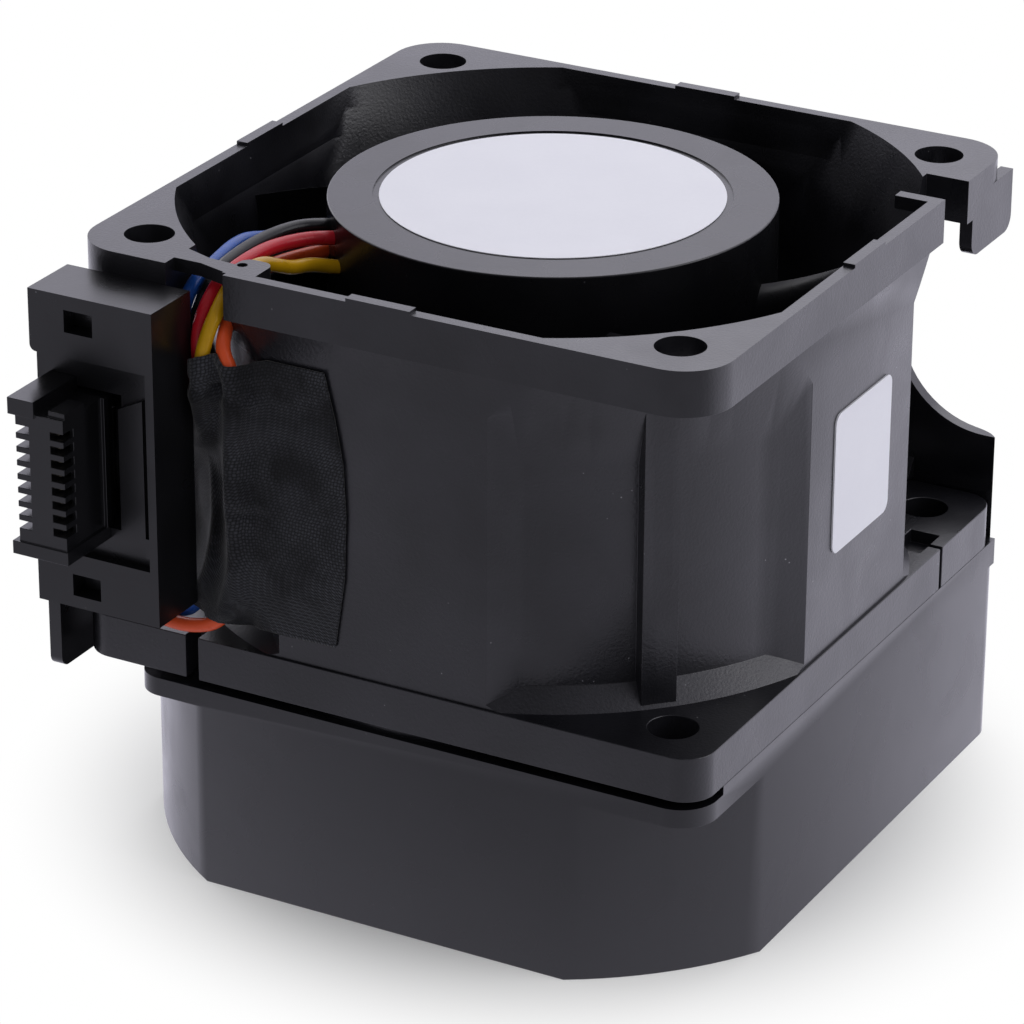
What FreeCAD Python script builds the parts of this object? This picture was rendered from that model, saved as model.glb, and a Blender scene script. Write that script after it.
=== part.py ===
"""Server fan module: a 60 mm axial fan in an inlet duct, with a blind-mate power connector.

Frame: millimetres, +Z up along the fan's axis, origin on that axis in the plane of the
duct's open end, on which the module stands.  Air enters at the bottom and leaves at the top.
The wire side of the module faces -Y and the rating label faces +X.
"""
import FreeCAD, Part
import math
import os
import re

import Sketcher

V = FreeCAD.Vector
doc = FreeCAD.newDocument("fan_module")

# ---------------------------------------------------------------- driving sizes

SIZES = (
    # fan frame
    ("fan_width", 60.0), ("fan_depth", 38.0), ("flange_thickness", 4.0), ("flange_corner", 4.5),
    ("foot_corner", 2.8), ("hole_diameter", 4.3), ("hole_wall", 0.8), ("barrel_wall", 1.3),
    ("flat_width", 20.0), ("flat_inset", 0.25),
    ("rib_width", 3.1), ("rib_height", 1.5), ("flare_depth", 12.4),
    ("rim_wall", 1.1), ("foot_flare", 1.8), ("pad_width", 6.0), ("pad_height", 0.3),
    ("gate_offset", 15.3), ("wire_gate_width", 5.6), ("wire_gate_depth", 6.5), ("gate_sill", 1.6),
    ("gate_bridge", 1.2), ("strap_inset", 0.8), ("strap_width", 2.2),
    ("hook_reach", 2.5), ("hook_depth", 4.2), ("hook_corner", 1.0), ("eye_diameter", 0.9),
    ("latch_gate_side", 15.2), ("latch_gate_width", 5.0), ("latch_gate_depth", 4.0), ("latch_leg", 1.2),
    ("latch_reach", 3.6), ("latch_wall", 1.2), ("latch_corner", 1.4), ("latch_inset", 1.2),
    ("slit_width", 1.25), ("slit_side", 18.0), ("slit_depth", 2.5), ("side_slit_width", 0.5),
    ("notch_width", 4.2), ("notch_reach", 2.8), ("notch_depth", 1.2),
    # inlet duct
    ("duct_height", 18.7), ("duct_gap", 0.8), ("duct_wall", 1.5), ("duct_plate", 1.7),
    ("duct_front_reach", 4.8), ("duct_back_reach", 1.5), ("duct_back_corner", 3.0),
    ("plate_corner", 3.4), ("plate_end_corner", 2.5), ("plate_inset", 5.3),
    ("throat_inset", 0.3), ("seat_width", 1.0),
    ("guide_wall", 1.2), ("guide_low", 9.8), ("guide_arc", 9.0), ("guide_shoulder", 1.7),
    ("guide_top", 2.6), ("nib_side", 16.5), ("nib_width", 5.0), ("nib_reach", 0.9),
    ("nib_gap", 0.15), ("nib_height", 2.0),
    # connector bracket, plug and contacts
    ("bracket_width", 12.1), ("bracket_depth", 6.0), ("bracket_low", 7.5), ("bracket_drop", 2.0),
    ("recess_depth", 1.0), ("recess_low", 5.0), ("recess_high", 5.6), ("recess_rim", 0.8),
    ("window_width", 2.8), ("window_height", 2.0), ("window_depth", 1.8), ("window_inset", 3.5),
    ("block_corner", 0.6), ("back_wall", 1.2), ("wire_hole_inset", 2.1),
    ("wire_hole_width", 3.1), ("wire_hole_shift", 1.6), ("wire_hole_height", 9.4),
    ("panel_inset", 8.3), ("panel_width", 2.4), ("panel_height", 13.4), ("panel_drop", 8.2),
    ("panel_bevel", 1.2), ("panel_rise", 0.6), ("key_block", 0.9),
    ("arm_wall", 1.2), ("arm_gap", 1.2), ("arm_length", 6.0), ("arm_drop", 9.0), ("arm_corner", 1.0),
    ("plug_width", 4.7), ("plug_inset", 2.0), ("plug_height", 11.8), ("plug_reach", 5.4),
    ("plug_float", 0.3), ("plug_tail", 2.0), ("wing_height", 1.2), ("wing_reach", 0.6),
    ("slot_pitch", 1.24), ("slot_height", 0.7), ("slot_width", 1.3), ("slot_depth", 4.6),
    ("ridge_width", 0.7), ("ridge_height", 0.3), ("ridge_inset", 1.0),
    ("contact_thickness", 0.3),
    # motor base and its outlet vanes
    ("base_radius", 19.45), ("base_height", 11.2), ("base_wall", 1.2), ("base_plate", 1.8),
    ("label_recess", 0.6), ("label_ring", 3.4), ("label_gap", 0.9), ("label_thickness", 0.15),
    ("vane_top", 5.0), ("vane_height", 5.6), ("vane_thickness", 1.2), ("vane_sweep", 42.0),
    ("vane_root", 0.9), ("vane_overrun", 2.6),
    # impeller
    ("hub_step", 0.85), ("rotor_gap", 0.4), ("nose_inset", 4.0), ("hub_wall", 1.2),
    ("nose_wall", 1.4), ("nose_round", 1.6), ("tip_clearance", 0.5), ("blade_thickness", 1.5),
    ("blade_camber", 1.9), ("root_pitch", 43.0), ("tip_pitch", 30.0),
    ("blade_lift", 0.7), ("blade_root", 1.6),
    ("blade_overrun", 1.8),
    # motor
    ("yoke_wall", 0.8), ("magnet_thickness", 1.8), ("air_gap", 0.4), ("magnet_inset", 1.2),
    ("shaft_diameter", 3.0), ("shaft_top_inset", 3.0), ("bush_radius", 3.4), ("bush_height", 3.5),
    ("bearing_diameter", 8.0), ("bearing_width", 3.5), ("race_wall", 0.6), ("ball_diameter", 1.2),
    ("tube_wall", 1.0), ("tube_shoulder", 0.5), ("clip_thickness", 0.5),
    ("clip_radius", 2.4), ("coil_gap", 3.2), ("core_inset", 2.6), ("core_ring", 2.0),
    ("tooth_width", 2.6), ("tooth_tip", 1.4), ("insulator_thickness", 0.8), ("coil_build", 1.5),
    ("board_radius_gap", 0.5), ("board_thickness", 1.2), ("board_drop", 3.4),
    ("driver_length", 5.0), ("driver_height", 1.0), ("part_length", 3.0), ("part_height", 0.9),
    ("capacitor_diameter", 3.8), ("capacitor_height", 2.8),
    # labels and tape
    ("side_label_width", 11.1), ("side_label_height", 12.9), ("side_label_low", 32.1),
    ("side_label_shift", 0.15), ("side_label_corner", 1.0), ("tape_thickness", 0.35),
    ("tape_bulge", 1.9), ("tape_gap", 0.1), ("tape_lap", 16.8), ("tape_rise", 2.2), ("wire_diameter", 1.25),
)
BLADES = 5
VANES = 7
TEETH = 6
BALLS = 7
CONTACT_ROWS = 8

sheet = doc.addObject("Spreadsheet::Sheet", "Sizes")
for row, (alias, number) in enumerate(SIZES, start=1):
    sheet.set(f"A{row}", alias)
    sheet.set(f"B{row}", str(number))
    sheet.setAlias(f"B{row}", alias)
doc.recompute()

# Sizes that follow from the driving ones, written once and used everywhere below.
DERIVED = {
    "half": "fan_width/2",
    "flat_face": "(fan_width/2 - flat_inset)",
    "fan_base": "(duct_height + duct_gap)",
    "fan_top": "(duct_height + duct_gap + fan_depth)",
    "bore_radius": "(fan_width/2 - barrel_wall)",
    "hub_radius": "(base_radius - hub_step)",
    "hub_open": "(duct_height + duct_gap + fan_depth - base_height - rotor_gap)",
    "hub_nose": "(duct_height + duct_gap + nose_inset)",
    "yoke_radius": "(base_radius - hub_step - hub_wall)",
    "magnet_radius": "(base_radius - hub_step - hub_wall - yoke_wall)",
    "core_radius": "(base_radius - hub_step - hub_wall - yoke_wall - magnet_thickness - air_gap)",
    "tube_radius": "(bearing_diameter/2 + tube_wall)",
    "base_floor": "(duct_height + duct_gap + fan_depth - label_recess - base_plate)",
    # The screw holes' square is five sixths of the width, and the mouth stops a wall short of them.
    "hole_at": "(fan_width*5/12)",
    "mouth_spread": "(fan_width*5/12*sqrt(2) - hole_diameter/2 - hole_wall - fan_width/2 + barrel_wall)",
    "gate_edge": "(gate_offset - fan_width/2)",
    "board_low": "(duct_height + duct_gap + fan_depth - label_recess - base_plate - board_drop"
                 " - board_thickness)",
    "tube_bottom": "(duct_height + duct_gap + nose_inset + nose_wall + yoke_wall + bush_height + 1)",
}
ALIASES = {alias for alias, _ in SIZES}


def expand(text):
    """Write out the derived names in an expression, and prefix each alias with its sheet."""
    for _ in range(3):
        text = re.sub(r"[a-z_]+", lambda m: DERIVED.get(m.group(), m.group()), text)
    return re.sub(r"[a-z_]+", lambda m: f"Sizes.{m.group()}" if m.group() in ALIASES else m.group(), text)


def size(text):
    """The present value of an expression, for shapes that are set from Part's own functions."""
    plain = re.sub(r"Sizes\.([a-z_]+)", lambda m: repr(float(sheet.get(m.group(1)))), expand(text))
    total = doc.getObject("Sizes").evalExpression(plain)
    return float(total)


def bind(obj, **texts):
    for name, text in texts.items():
        obj.setExpression(name, expand(text))


def at(obj, x="0", y="0", z="0"):
    for axis, text in (("x", x), ("y", y), ("z", z)):
        obj.setExpression(f"Placement.Base.{axis}", expand(text))
    return obj


# ---------------------------------------------------------------- building blocks

def box(x, y, z):
    """A box between two expressions along each axis."""
    obj = doc.addObject("Part::Box", "block")
    bind(obj, Length=f"({x[1]}) - ({x[0]})", Width=f"({y[1]}) - ({y[0]})", Height=f"({z[1]}) - ({z[0]})")
    return at(obj, x[0], y[0], z[0])


def cylinder(radius, z, x="0", y="0"):
    obj = doc.addObject("Part::Cylinder", "round")
    bind(obj, Radius=radius, Height=f"({z[1]}) - ({z[0]})")
    return at(obj, x, y, z[0])


def cone(low, high, z, x="0", y="0"):
    obj = doc.addObject("Part::Cone", "taper")
    bind(obj, Radius1=low, Radius2=high, Height=f"({z[1]}) - ({z[0]})")
    return at(obj, x, y, z[0])


def fuse(*pieces):
    obj = doc.addObject("Part::MultiFuse", "joined")
    obj.Shapes = list(pieces)
    obj.Refine = True
    return obj


def common(*pieces):
    obj = doc.addObject("Part::MultiCommon", "shared")
    obj.Shapes = list(pieces)
    return obj


def cut(base, *tools):
    obj = doc.addObject("Part::Cut", "trimmed")
    obj.Base = base
    obj.Tool = tools[0] if len(tools) == 1 else fuse(*tools)
    return obj


def rounded(base, radius, pick):
    """Fillet the edges of base that pick accepts."""
    doc.recompute()
    obj = doc.addObject("Part::Fillet", "softened")
    obj.Base = base
    r = size(radius)
    obj.Edges = [(i, r, r) for i, edge in enumerate(base.Shape.Edges, start=1) if pick(edge)]
    return obj


def upright(edge):
    """True for a straight edge along Z."""
    ends = [v.Point for v in edge.Vertexes]
    if len(ends) != 2:
        return False
    step = ends[1] - ends[0]
    return abs(step.x) + abs(step.y) < 1e-6


def low_corner(edge):
    """True for an edge along X on the low side of a thin plate."""
    return level_x(edge) and edge.BoundBox.ZMin < size("fan_top - flange_thickness")


def level_x(edge):
    """True for a straight edge along X."""
    bounds = edge.BoundBox
    return len(edge.Vertexes) == 2 and bounds.YLength + bounds.ZLength < 1e-6


def block_corner(edge, height):
    """True for the outer edge where the bracket's top block steps in, at a given height."""
    bounds = edge.BoundBox
    return (bounds.XLength + bounds.ZLength < 1e-6 and abs(bounds.ZMin - height) < 1e-3
            and bounds.XMin < -size("half") + 1e-3)


def plane_of(body, role):
    return next(f for f in body.Origin.OriginFeatures if f.Role == role)


def polygon(body, role, points, height="0"):
    """A closed sketch on one of the body's origin planes, each corner tied to expressions."""
    sketch = body.newObject("Sketcher::SketchObject", "outline")
    sketch.AttachmentSupport = [(plane_of(body, role), "")]
    sketch.MapMode = "FlatFace"
    sketch.setExpression("AttachmentOffset.Base.z", expand(height))
    corners = [V(size(x), size(y), 0) for x, y in points]
    count = len(corners)
    for i in range(count):
        sketch.addGeometry(Part.LineSegment(corners[i], corners[(i + 1) % count]))
    for i in range(count):
        sketch.addConstraint(Sketcher.Constraint("Coincident", i, 2, (i + 1) % count, 1))
    for i, (x, y) in enumerate(points):
        for kind, text, number in (("DistanceX", x, corners[i].x), ("DistanceY", y, corners[i].y)):
            n = sketch.addConstraint(Sketcher.Constraint(kind, -1, 1, i, 1, number))
            sketch.setExpression(f"Constraints[{n}]", expand(text))
    return sketch


def prism(role, points, span):
    """A body padded from an outline, between two expressions along the plane's normal."""
    body = doc.addObject("PartDesign::Body", "prism")
    sketch = polygon(body, role, points, span[0])
    pad = body.newObject("PartDesign::Pad", "pad")
    pad.Profile = sketch
    bind(pad, Length=f"({span[1]}) - ({span[0]})")
    return body


def turned(points):
    """A body of revolution about Z, from radius and height expressions."""
    body = doc.addObject("PartDesign::Body", "turned")
    sketch = polygon(body, "XZ_Plane", points)
    turn = body.newObject("PartDesign::Revolution", "turn")
    turn.Profile = sketch
    turn.ReferenceAxis = (sketch, ["V_Axis"])
    turn.Angle = 360
    return body


def ring(inner, outer, z):
    return turned([(inner, z[0]), (outer, z[0]), (outer, z[1]), (inner, z[1])])


def shaped(shape):
    obj = doc.addObject("Part::Feature", "shaped")
    obj.Shape = shape
    return obj


def around(base, count, first=0.0):
    """Copies of base's solids, evenly turned about Z, as separate solids."""
    doc.recompute()
    copies = []
    for i in range(count):
        copy = base.Shape.copy()
        copy.rotate(V(0, 0, 0), V(0, 0, 1), first + i * 360.0 / count)
        copies.append(copy)
    return shaped(Part.Compound(copies))


NODES = {}


def node(name, obj):
    obj.Label = name
    NODES[name] = obj
    return obj


def wing_section(radius, turn, chord, pitch, camber, thickness, middle):
    """One aerofoil outline on the plane square to the radius: two arcs that meet at both edges."""
    out = V(math.cos(turn), math.sin(turn), 0)
    along = V(-math.sin(turn), math.cos(turn), 0)
    up = V(0, 0, 1)
    run = along * math.cos(pitch) + up * math.sin(pitch)
    rise = up * math.cos(pitch) - along * math.sin(pitch)
    centre = out * radius + up * middle
    nose = centre - run * (chord / 2)
    tail = centre + run * (chord / 2)
    back = centre + rise * (camber + thickness / 2)
    face = centre + rise * (camber - thickness / 2)
    upper = Part.Arc(nose, back, tail).toShape()
    lower = Part.Arc(tail, face, nose).toShape()
    return Part.Wire([upper, lower])


# ---------------------------------------------------------------- fan frame

# A span that runs past both ends of the fan, for what is cut right through it.
THROUGH = ("fan_base - 1", "fan_top + 1")


def build_fan_frame():
    side = ("-half", "half")
    low_flange = rounded(box(side, side, ("fan_base", "fan_base + flange_thickness")),
                         "foot_corner", upright)
    top_flange = rounded(box(side, side, ("fan_top - flange_thickness", "fan_top")),
                         "flange_corner", upright)
    whole = ("fan_base", "fan_top")
    flat = "flat_width/2"
    # The barrel's four flats stand a little inside the flanges' faces.
    face = "flat_face"
    octagon = prism("XY_Plane", [
        (face, f"-{flat}"), (face, flat), (flat, face), (f"-{flat}", face),
        (f"-{face}", flat), (f"-{face}", f"-{flat}"), (f"-{flat}", f"-{face}"), (flat, f"-{face}")], whole)
    barrel = cylinder("half", whole)
    # The outlet flares towards the top, and a short flare meets the lower flange.
    flare_low = "fan_top - flare_depth"
    spread = "mouth_spread*(flare_depth - flange_thickness)/flare_depth"
    flare = cone("half", f"half + {spread}", (flare_low, "fan_top - flange_thickness"))
    foot = cone("half + foot_flare", "half", ("fan_base + flange_thickness",
                                              "fan_base + flange_thickness + foot_flare"))
    # One rib stands on the barrel at each corner, between the flanges.
    ribs = []
    for quarter in range(4):
        rib = doc.addObject("Part::Box", "rib")
        bind(rib, Length="rib_height + barrel_wall", Width="rib_width",
             Height="fan_depth - flange_thickness")
        rib.Placement.Rotation = FreeCAD.Rotation(V(0, 0, 1), 45 + 90 * quarter)
        a = f"{45 + 90 * quarter} deg"
        at(rib, f"cos({a})*bore_radius + sin({a})*rib_width/2",
           f"sin({a})*bore_radius - cos({a})*rib_width/2", "fan_base + flange_thickness/2")
        ribs.append(rib)
    pads = [box(("-pad_width/2", "pad_width/2"), (y0, y1), ("fan_top", "fan_top + pad_height"))
            for y0, y1 in (("-half", "-half + rim_wall"), ("half - rim_wall", "half"))]
    pads += [box((x0, x1), ("-pad_width/2", "pad_width/2"), ("fan_top", "fan_top + pad_height"))
             for x0, x1 in (("-half", "-half + rim_wall"), ("half - rim_wall", "half"))]
    # A thin latch plate hangs under the top flange beside the right-hand gate.
    latch_side = "latch_gate_side + latch_gate_width"
    latch = rounded(box(("half - latch_wall", "half"), (f"{latch_side} + latch_inset", "half"),
                        ("fan_top - flange_thickness - latch_reach", "fan_top - flange_thickness/2")),
                    "latch_corner", low_corner)
    inside = ("-flat_face", "flat_face")
    round_part = common(fuse(barrel, flare, foot), box(inside, inside, whole))
    body = fuse(low_flange, top_flange, octagon, round_part, *ribs, *pads)

    bore = cylinder("bore_radius", THROUGH)
    mouth_slope = "mouth_spread/flare_depth"
    mouth = cone("bore_radius", f"bore_radius + mouth_spread + {mouth_slope}",
                 (flare_low, "fan_top + 1"))
    inlet = cone("bore_radius + foot_flare/2", "bore_radius", ("fan_base", "fan_base + flange_thickness"))
    rim = ("-half + rim_wall", "half - rim_wall")
    mouth = common(fuse(mouth, inlet), box(rim, rim, THROUGH))
    holes = []
    for sx in ("-", ""):
        for sy in ("-", ""):
            holes.append(cylinder("hole_diameter/2", THROUGH, f"{sx}hole_at", f"{sy}hole_at"))
    flange_z = ("fan_top - flange_thickness - 0.1", "fan_top + 1")
    gate_left = "gate_edge - wire_gate_width"
    gate = box((gate_left, "gate_edge"), ("-half - 1", "-half + wire_gate_depth"),
               ("fan_top - flange_thickness - gate_sill", "fan_top + 1"))
    latch_gate = box(("half - latch_gate_depth", "half + 1"), ("latch_gate_side", latch_side), flange_z)
    foot_top = "fan_base + flange_thickness"
    slit_z = ("fan_base - 1", f"{foot_top} + foot_flare/3")
    slit = box(("-slit_side - slit_width", "-slit_side"), ("-half - 1", "-half + slit_depth"), slit_z)
    side_slit = box(("half - slit_depth", "half + 1"), ("slit_side - side_slit_width", "slit_side"), slit_z)
    notch = box(("half - slit_depth/2 - notch_reach", "half - slit_depth/2"),
                ("slit_side - notch_width/2", "slit_side + notch_width/2"),
                (f"{foot_top} - notch_depth", f"{foot_top} + foot_flare"))
    frame = cut(body, bore, mouth, gate, latch_gate, slit, side_slit, notch, *holes)
    # A strap bridges the wire gate and ends in a hook with a small eye.
    bridge = ("fan_top - gate_bridge", "fan_top")
    strap_end = "gate_edge + 0.5"
    strap = prism("XY_Plane", [
        (f"{gate_left} - 0.5", "-half + strap_inset*1.8"), ("gate_edge - 3", "-half + strap_inset*1.8"),
        (strap_end, "-half + strap_inset*0.6"), (strap_end, "-half + strap_inset + strap_width*0.8"),
        ("gate_edge - 3", "-half + strap_inset + strap_width*0.9"),
        (f"{gate_left} - 0.5", "-half + strap_inset + strap_width*1.4")], bridge)
    hook = rounded(box(("gate_edge - 0.4", "gate_edge + hook_reach"),
                       ("-half + rim_wall/2", "-half + hook_depth"), bridge), "hook_corner",
                   lambda e: upright(e) and e.Vertexes[0].Point.y > -size("half") + size("rim_wall"))
    eye = cylinder("eye_diameter/2", THROUGH, "gate_edge + eye_diameter/4",
                   "-half + hook_depth - hook_corner - eye_diameter/2")
    leg = box(("half - latch_gate_depth - 0.2", "half - rim_wall/2"),
              ("latch_gate_side - latch_leg", "latch_gate_side"), bridge)
    # The moulding is written as three nodes that meet at the flanges' inner faces.
    under = "fan_top - flange_thickness"
    wide = ("-fan_width", "fan_width")
    top_part = common(frame, box(wide, wide, (under, "fan_top + 1")))
    node("frame_outlet_flange", fuse(top_part, latch, cut(fuse(strap, hook), eye), leg))
    node("frame_barrel", common(frame, box(wide, wide, (foot_top, under))))
    node("frame_inlet_flange", common(frame, box(wide, wide, ("fan_base - 1", foot_top))))


# ---------------------------------------------------------------- inlet duct

def duct_outline(inset, z):
    """The duct's plan: round front corners about the fan's axis, square back corners."""
    x = (f"-half + {inset}", f"half - {inset}")
    front = common(box(x, (f"-half + {inset}", "0"), z),
                   cylinder(f"half + duct_front_reach - {inset}", z))
    back = rounded(box(x, ("-duct_back_corner*2", f"half + duct_back_reach - {inset}"), z),
                   f"duct_back_corner - {inset}*0.6", lambda e: upright(e) and e.Vertexes[0].Point.y > 0)
    return fuse(front, back)


def build_inlet_duct():
    top = "duct_height"
    under = "duct_height - duct_plate"
    walls = duct_outline("0", ("0", top))
    plate = rounded(box(("-half + plate_inset", "half"), ("-half", "0"), (under, top)), "plate_corner",
                    lambda e: upright(e) and e.Vertexes[0].Point.y < 0 and e.Vertexes[0].Point.x > 0)
    plate = rounded(plate, "plate_end_corner",
                    lambda e: upright(e) and e.Vertexes[0].Point.y < 0 and e.Vertexes[0].Point.x < 0)
    throat_radius = "bore_radius - throat_inset"
    seat = cylinder(f"{throat_radius} + seat_width", (under, "fan_base"))
    side_seat = box(("half - duct_wall", "half"), ("-half + flange_corner", "half"), (under, "fan_base"))
    # The guide wall stands behind the fan and rises to a tab in two concave sweeps.
    back = ("half + duct_back_reach - guide_wall", "half + duct_back_reach")
    guide_z = "fan_base + guide_low"
    sheet_wall = box(("-half", "half"), back, ("duct_height/2", f"{guide_z} + guide_arc + guide_top"))
    sweeps = []
    for sign in ("-", ""):
        centre = f"{sign}(half - guide_shoulder)"
        inner = f"{sign}(half - guide_shoulder - guide_arc)"
        far = f"{sign}(half + 1)"
        xs = (inner, far) if sign == "" else (far, inner)
        above = box(xs, ("half", "half + duct_back_reach + 1"),
                    (f"{guide_z} + guide_arc", f"{guide_z} + 3*guide_arc"))
        round_hole = doc.addObject("Part::Cylinder", "sweep")
        bind(round_hole, Radius="guide_arc", Height="duct_back_reach + 2")
        round_hole.Placement.Rotation = FreeCAD.Rotation(V(1, 0, 0), -90)
        at(round_hole, centre, "half - 0.5", f"{guide_z} + guide_arc")
        xo = (centre, far) if sign == "" else (far, centre)
        beside = box(xo, ("half", "half + duct_back_reach + 1"), (guide_z, f"{guide_z} + 2*guide_arc"))
        sweeps += [above, round_hole, beside]
    # The wall's ends follow the duct's round back corners.
    guide = common(cut(sheet_wall, *sweeps), duct_outline("0", ("0", "fan_top")))
    body = fuse(walls, plate, seat, side_seat, guide)
    cavity = duct_outline("duct_wall", ("-1", under))
    throat = cylinder(throat_radius, ("0", "fan_base + 1"))
    duct = cut(body, cavity, throat)
    # Two snap nibs on the guide wall hook over the fan's lower flange.
    nib_low = "fan_base + flange_thickness + nib_gap"
    wall_face = "half + duct_back_reach - guide_wall"
    nibs = []
    for sign in ("-", ""):
        middle = f"{sign}(nib_side + nib_width/2)"
        nibs.append(prism("YZ_Plane", [
            (f"{wall_face} + guide_wall/2", nib_low), ("half - nib_reach", nib_low),
            ("half - nib_reach", f"{nib_low} + nib_gap*2"), (wall_face, f"{nib_low} + nib_height"),
            (f"{wall_face} + guide_wall/2", f"{nib_low} + nib_height")],
            (f"{middle} - nib_width/2", f"{middle} + nib_width/2")))
    node("inlet_duct", fuse(duct, *nibs))


# ---------------------------------------------------------------- connector

BRACKET_X = ("-half", "-half + bracket_width")
BRACKET_Z = ("fan_base + bracket_low", "fan_top - bracket_drop")
PLUG_X = ("-half + plug_inset", "-half + plug_inset + plug_width")
PLUG_MID = "(fan_base + bracket_low + recess_low + fan_top - bracket_drop - recess_high)/2"
PLUG_Z = (f"{PLUG_MID} - plug_height/2", f"{PLUG_MID} + plug_height/2")
FACE_Y = "-half - bracket_depth"


def build_connector_bracket():
    low, high = BRACKET_Z
    block = box(BRACKET_X, (FACE_Y, "-half"), BRACKET_Z)
    recess_z = (f"{low} + recess_low", f"{high} - recess_high")
    floor_y = f"{FACE_Y} + recess_depth"
    recess = box(("-half - 1", f"{BRACKET_X[1]} - recess_rim"), (f"{FACE_Y} - 1", floor_y), recess_z)
    block = rounded(cut(block, recess), "block_corner", lambda e: block_corner(e, size(recess_z[1])))
    # The plug's opening runs to the side panel and stops at the back wall, which has a hole for wires.
    panel_x = ("-half + panel_inset", "-half + panel_inset + panel_width")
    opening = box((f"{PLUG_X[0]} - plug_float", panel_x[0]), (f"{FACE_Y} - 1", "-half - back_wall"),
                  (f"{PLUG_Z[0]} - plug_float", f"{PLUG_Z[1]} + plug_float"))
    wire_hole = box(("-half + wire_hole_inset", "-half + wire_hole_inset + wire_hole_width"),
                    (f"{FACE_Y} - 1", "-half + 1"),
                    (f"{PLUG_MID} - wire_hole_shift - wire_hole_height/2",
                     f"{PLUG_MID} - wire_hole_shift + wire_hole_height/2"))
    windows = [box(("-half + window_inset", "-half + window_inset + window_width"),
                   (f"{FACE_Y} - 1", f"{FACE_Y} + window_depth"), z)
               for z in ((f"{high} - 1.3 - window_height", f"{high} - 1.3"),
                         (f"{low} + 1.1", f"{low} + 1.1 + window_height"))]
    # A raised panel with a bevelled top stands beside the opening, with a key block at its foot.
    panel_top = f"{high} - panel_drop"
    panel = prism("XZ_Plane", [
        (panel_x[0], f"{panel_top} - panel_height"), (panel_x[1], f"{panel_top} - panel_height"),
        (panel_x[1], panel_top), (panel_x[0], f"{panel_top} - panel_bevel")],
        (f"-({floor_y}) - 0.2", f"-({floor_y}) + panel_rise"))
    key = box((panel_x[1], f"{BRACKET_X[1]} - recess_rim/2"), (f"{floor_y} - panel_rise", f"{floor_y} + 0.2"),
              (f"{panel_top} - panel_height - key_block", f"{panel_top} - panel_height + key_block"))
    # An arm wraps the frame's corner and ends in a foot tab below the lower flange.
    arm_x = ("-half - arm_gap - arm_wall", "-half - arm_gap")
    arm = rounded(box(arm_x, ("-half - arm_wall", "-half - arm_wall + arm_length"),
                      (f"{low} - arm_drop", f"{low} + recess_low")), "arm_corner",
                  lambda e: level_x(e) and e.BoundBox.ZMin < size(low) - size("arm_drop/2"))
    web = box(("-half - arm_gap - arm_wall/2", "-half + 0.5"), ("-half - arm_wall", "-half - 0.1"),
              (low, f"{low} + recess_low"))
    node("connector_bracket", fuse(cut(block, opening, wire_hole, *windows), panel, key, arm, web))


def build_connector():
    front = f"({FACE_Y} - plug_reach)"
    back = f"({FACE_Y} + plug_tail)"
    shell = box(PLUG_X, (front, back), PLUG_Z)
    rail_y = (f"{front} - 0.2", f"{FACE_Y} + recess_depth")
    rail = box((f"{PLUG_X[0]} - wing_reach", f"{PLUG_X[0]} + plug_width*0.42"), rail_y,
               (f"{PLUG_Z[1]} - 0.3", f"{PLUG_Z[1]} + wing_height"))
    ridge_y = f"{FACE_Y} + ridge_inset"
    ridge = box((f"{PLUG_X[1]} - 0.2", f"{PLUG_X[1]} + ridge_height"), (f"{ridge_y} - ridge_width", ridge_y),
                PLUG_Z)
    low_rail = box((f"{PLUG_X[0]} - wing_reach", f"{PLUG_X[1]} + 0.2"), rail_y,
                   (f"{PLUG_Z[0]} - wing_height", PLUG_Z[0]))
    key = box((f"{PLUG_X[1]} - 1.6", PLUG_X[1]), (f"{front} + 0.3", f"{front} + 3.3"),
              (f"{PLUG_Z[1]} - 0.3", f"{PLUG_Z[1]} + 0.5"))
    body = fuse(shell, rail, low_rail, key, ridge)
    slots = []
    blades = []
    for row in range(CONTACT_ROWS):
        z = f"({PLUG_MID} + slot_pitch*({row} - {(CONTACT_ROWS - 1) / 2}))"
        z_slot = (f"{z} - slot_height/2", f"{z} + slot_height/2")
        z_blade = (f"{z} - contact_thickness/2", f"{z} + contact_thickness/2")
        y_slot = (f"{front} - 1", f"{front} + slot_depth")
        # The slots open forward and to both sides.
        slots.append(box((f"{PLUG_X[0]} - 1", f"{PLUG_X[0]} + slot_width"), y_slot, z_slot))
        right = f"({PLUG_X[1]} - slot_width)"
        slots.append(box((right, f"{PLUG_X[1]} + 1"), (y_slot[0], f"{front} + slot_depth/3"), z_slot))
        slots.append(box((right, f"{PLUG_X[1]} - 0.4"), y_slot, z_slot))
        blades.append(box((f"{PLUG_X[0]} + slot_width - 0.5", f"{PLUG_X[0]} + slot_width"),
                          (f"{front} + 1.2", f"{front} + slot_depth"), z_blade))
        blades.append(box((right, f"{right} + 0.5"), (f"{front} + 0.8", f"{front} + slot_depth"), z_blade))
    node("connector_plug", cut(body, *slots))
    contacts = doc.addObject("Part::Compound", "contacts")
    contacts.Links = blades
    node("connector_contacts", contacts)


# ---------------------------------------------------------------- motor base and outlet vanes

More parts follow.
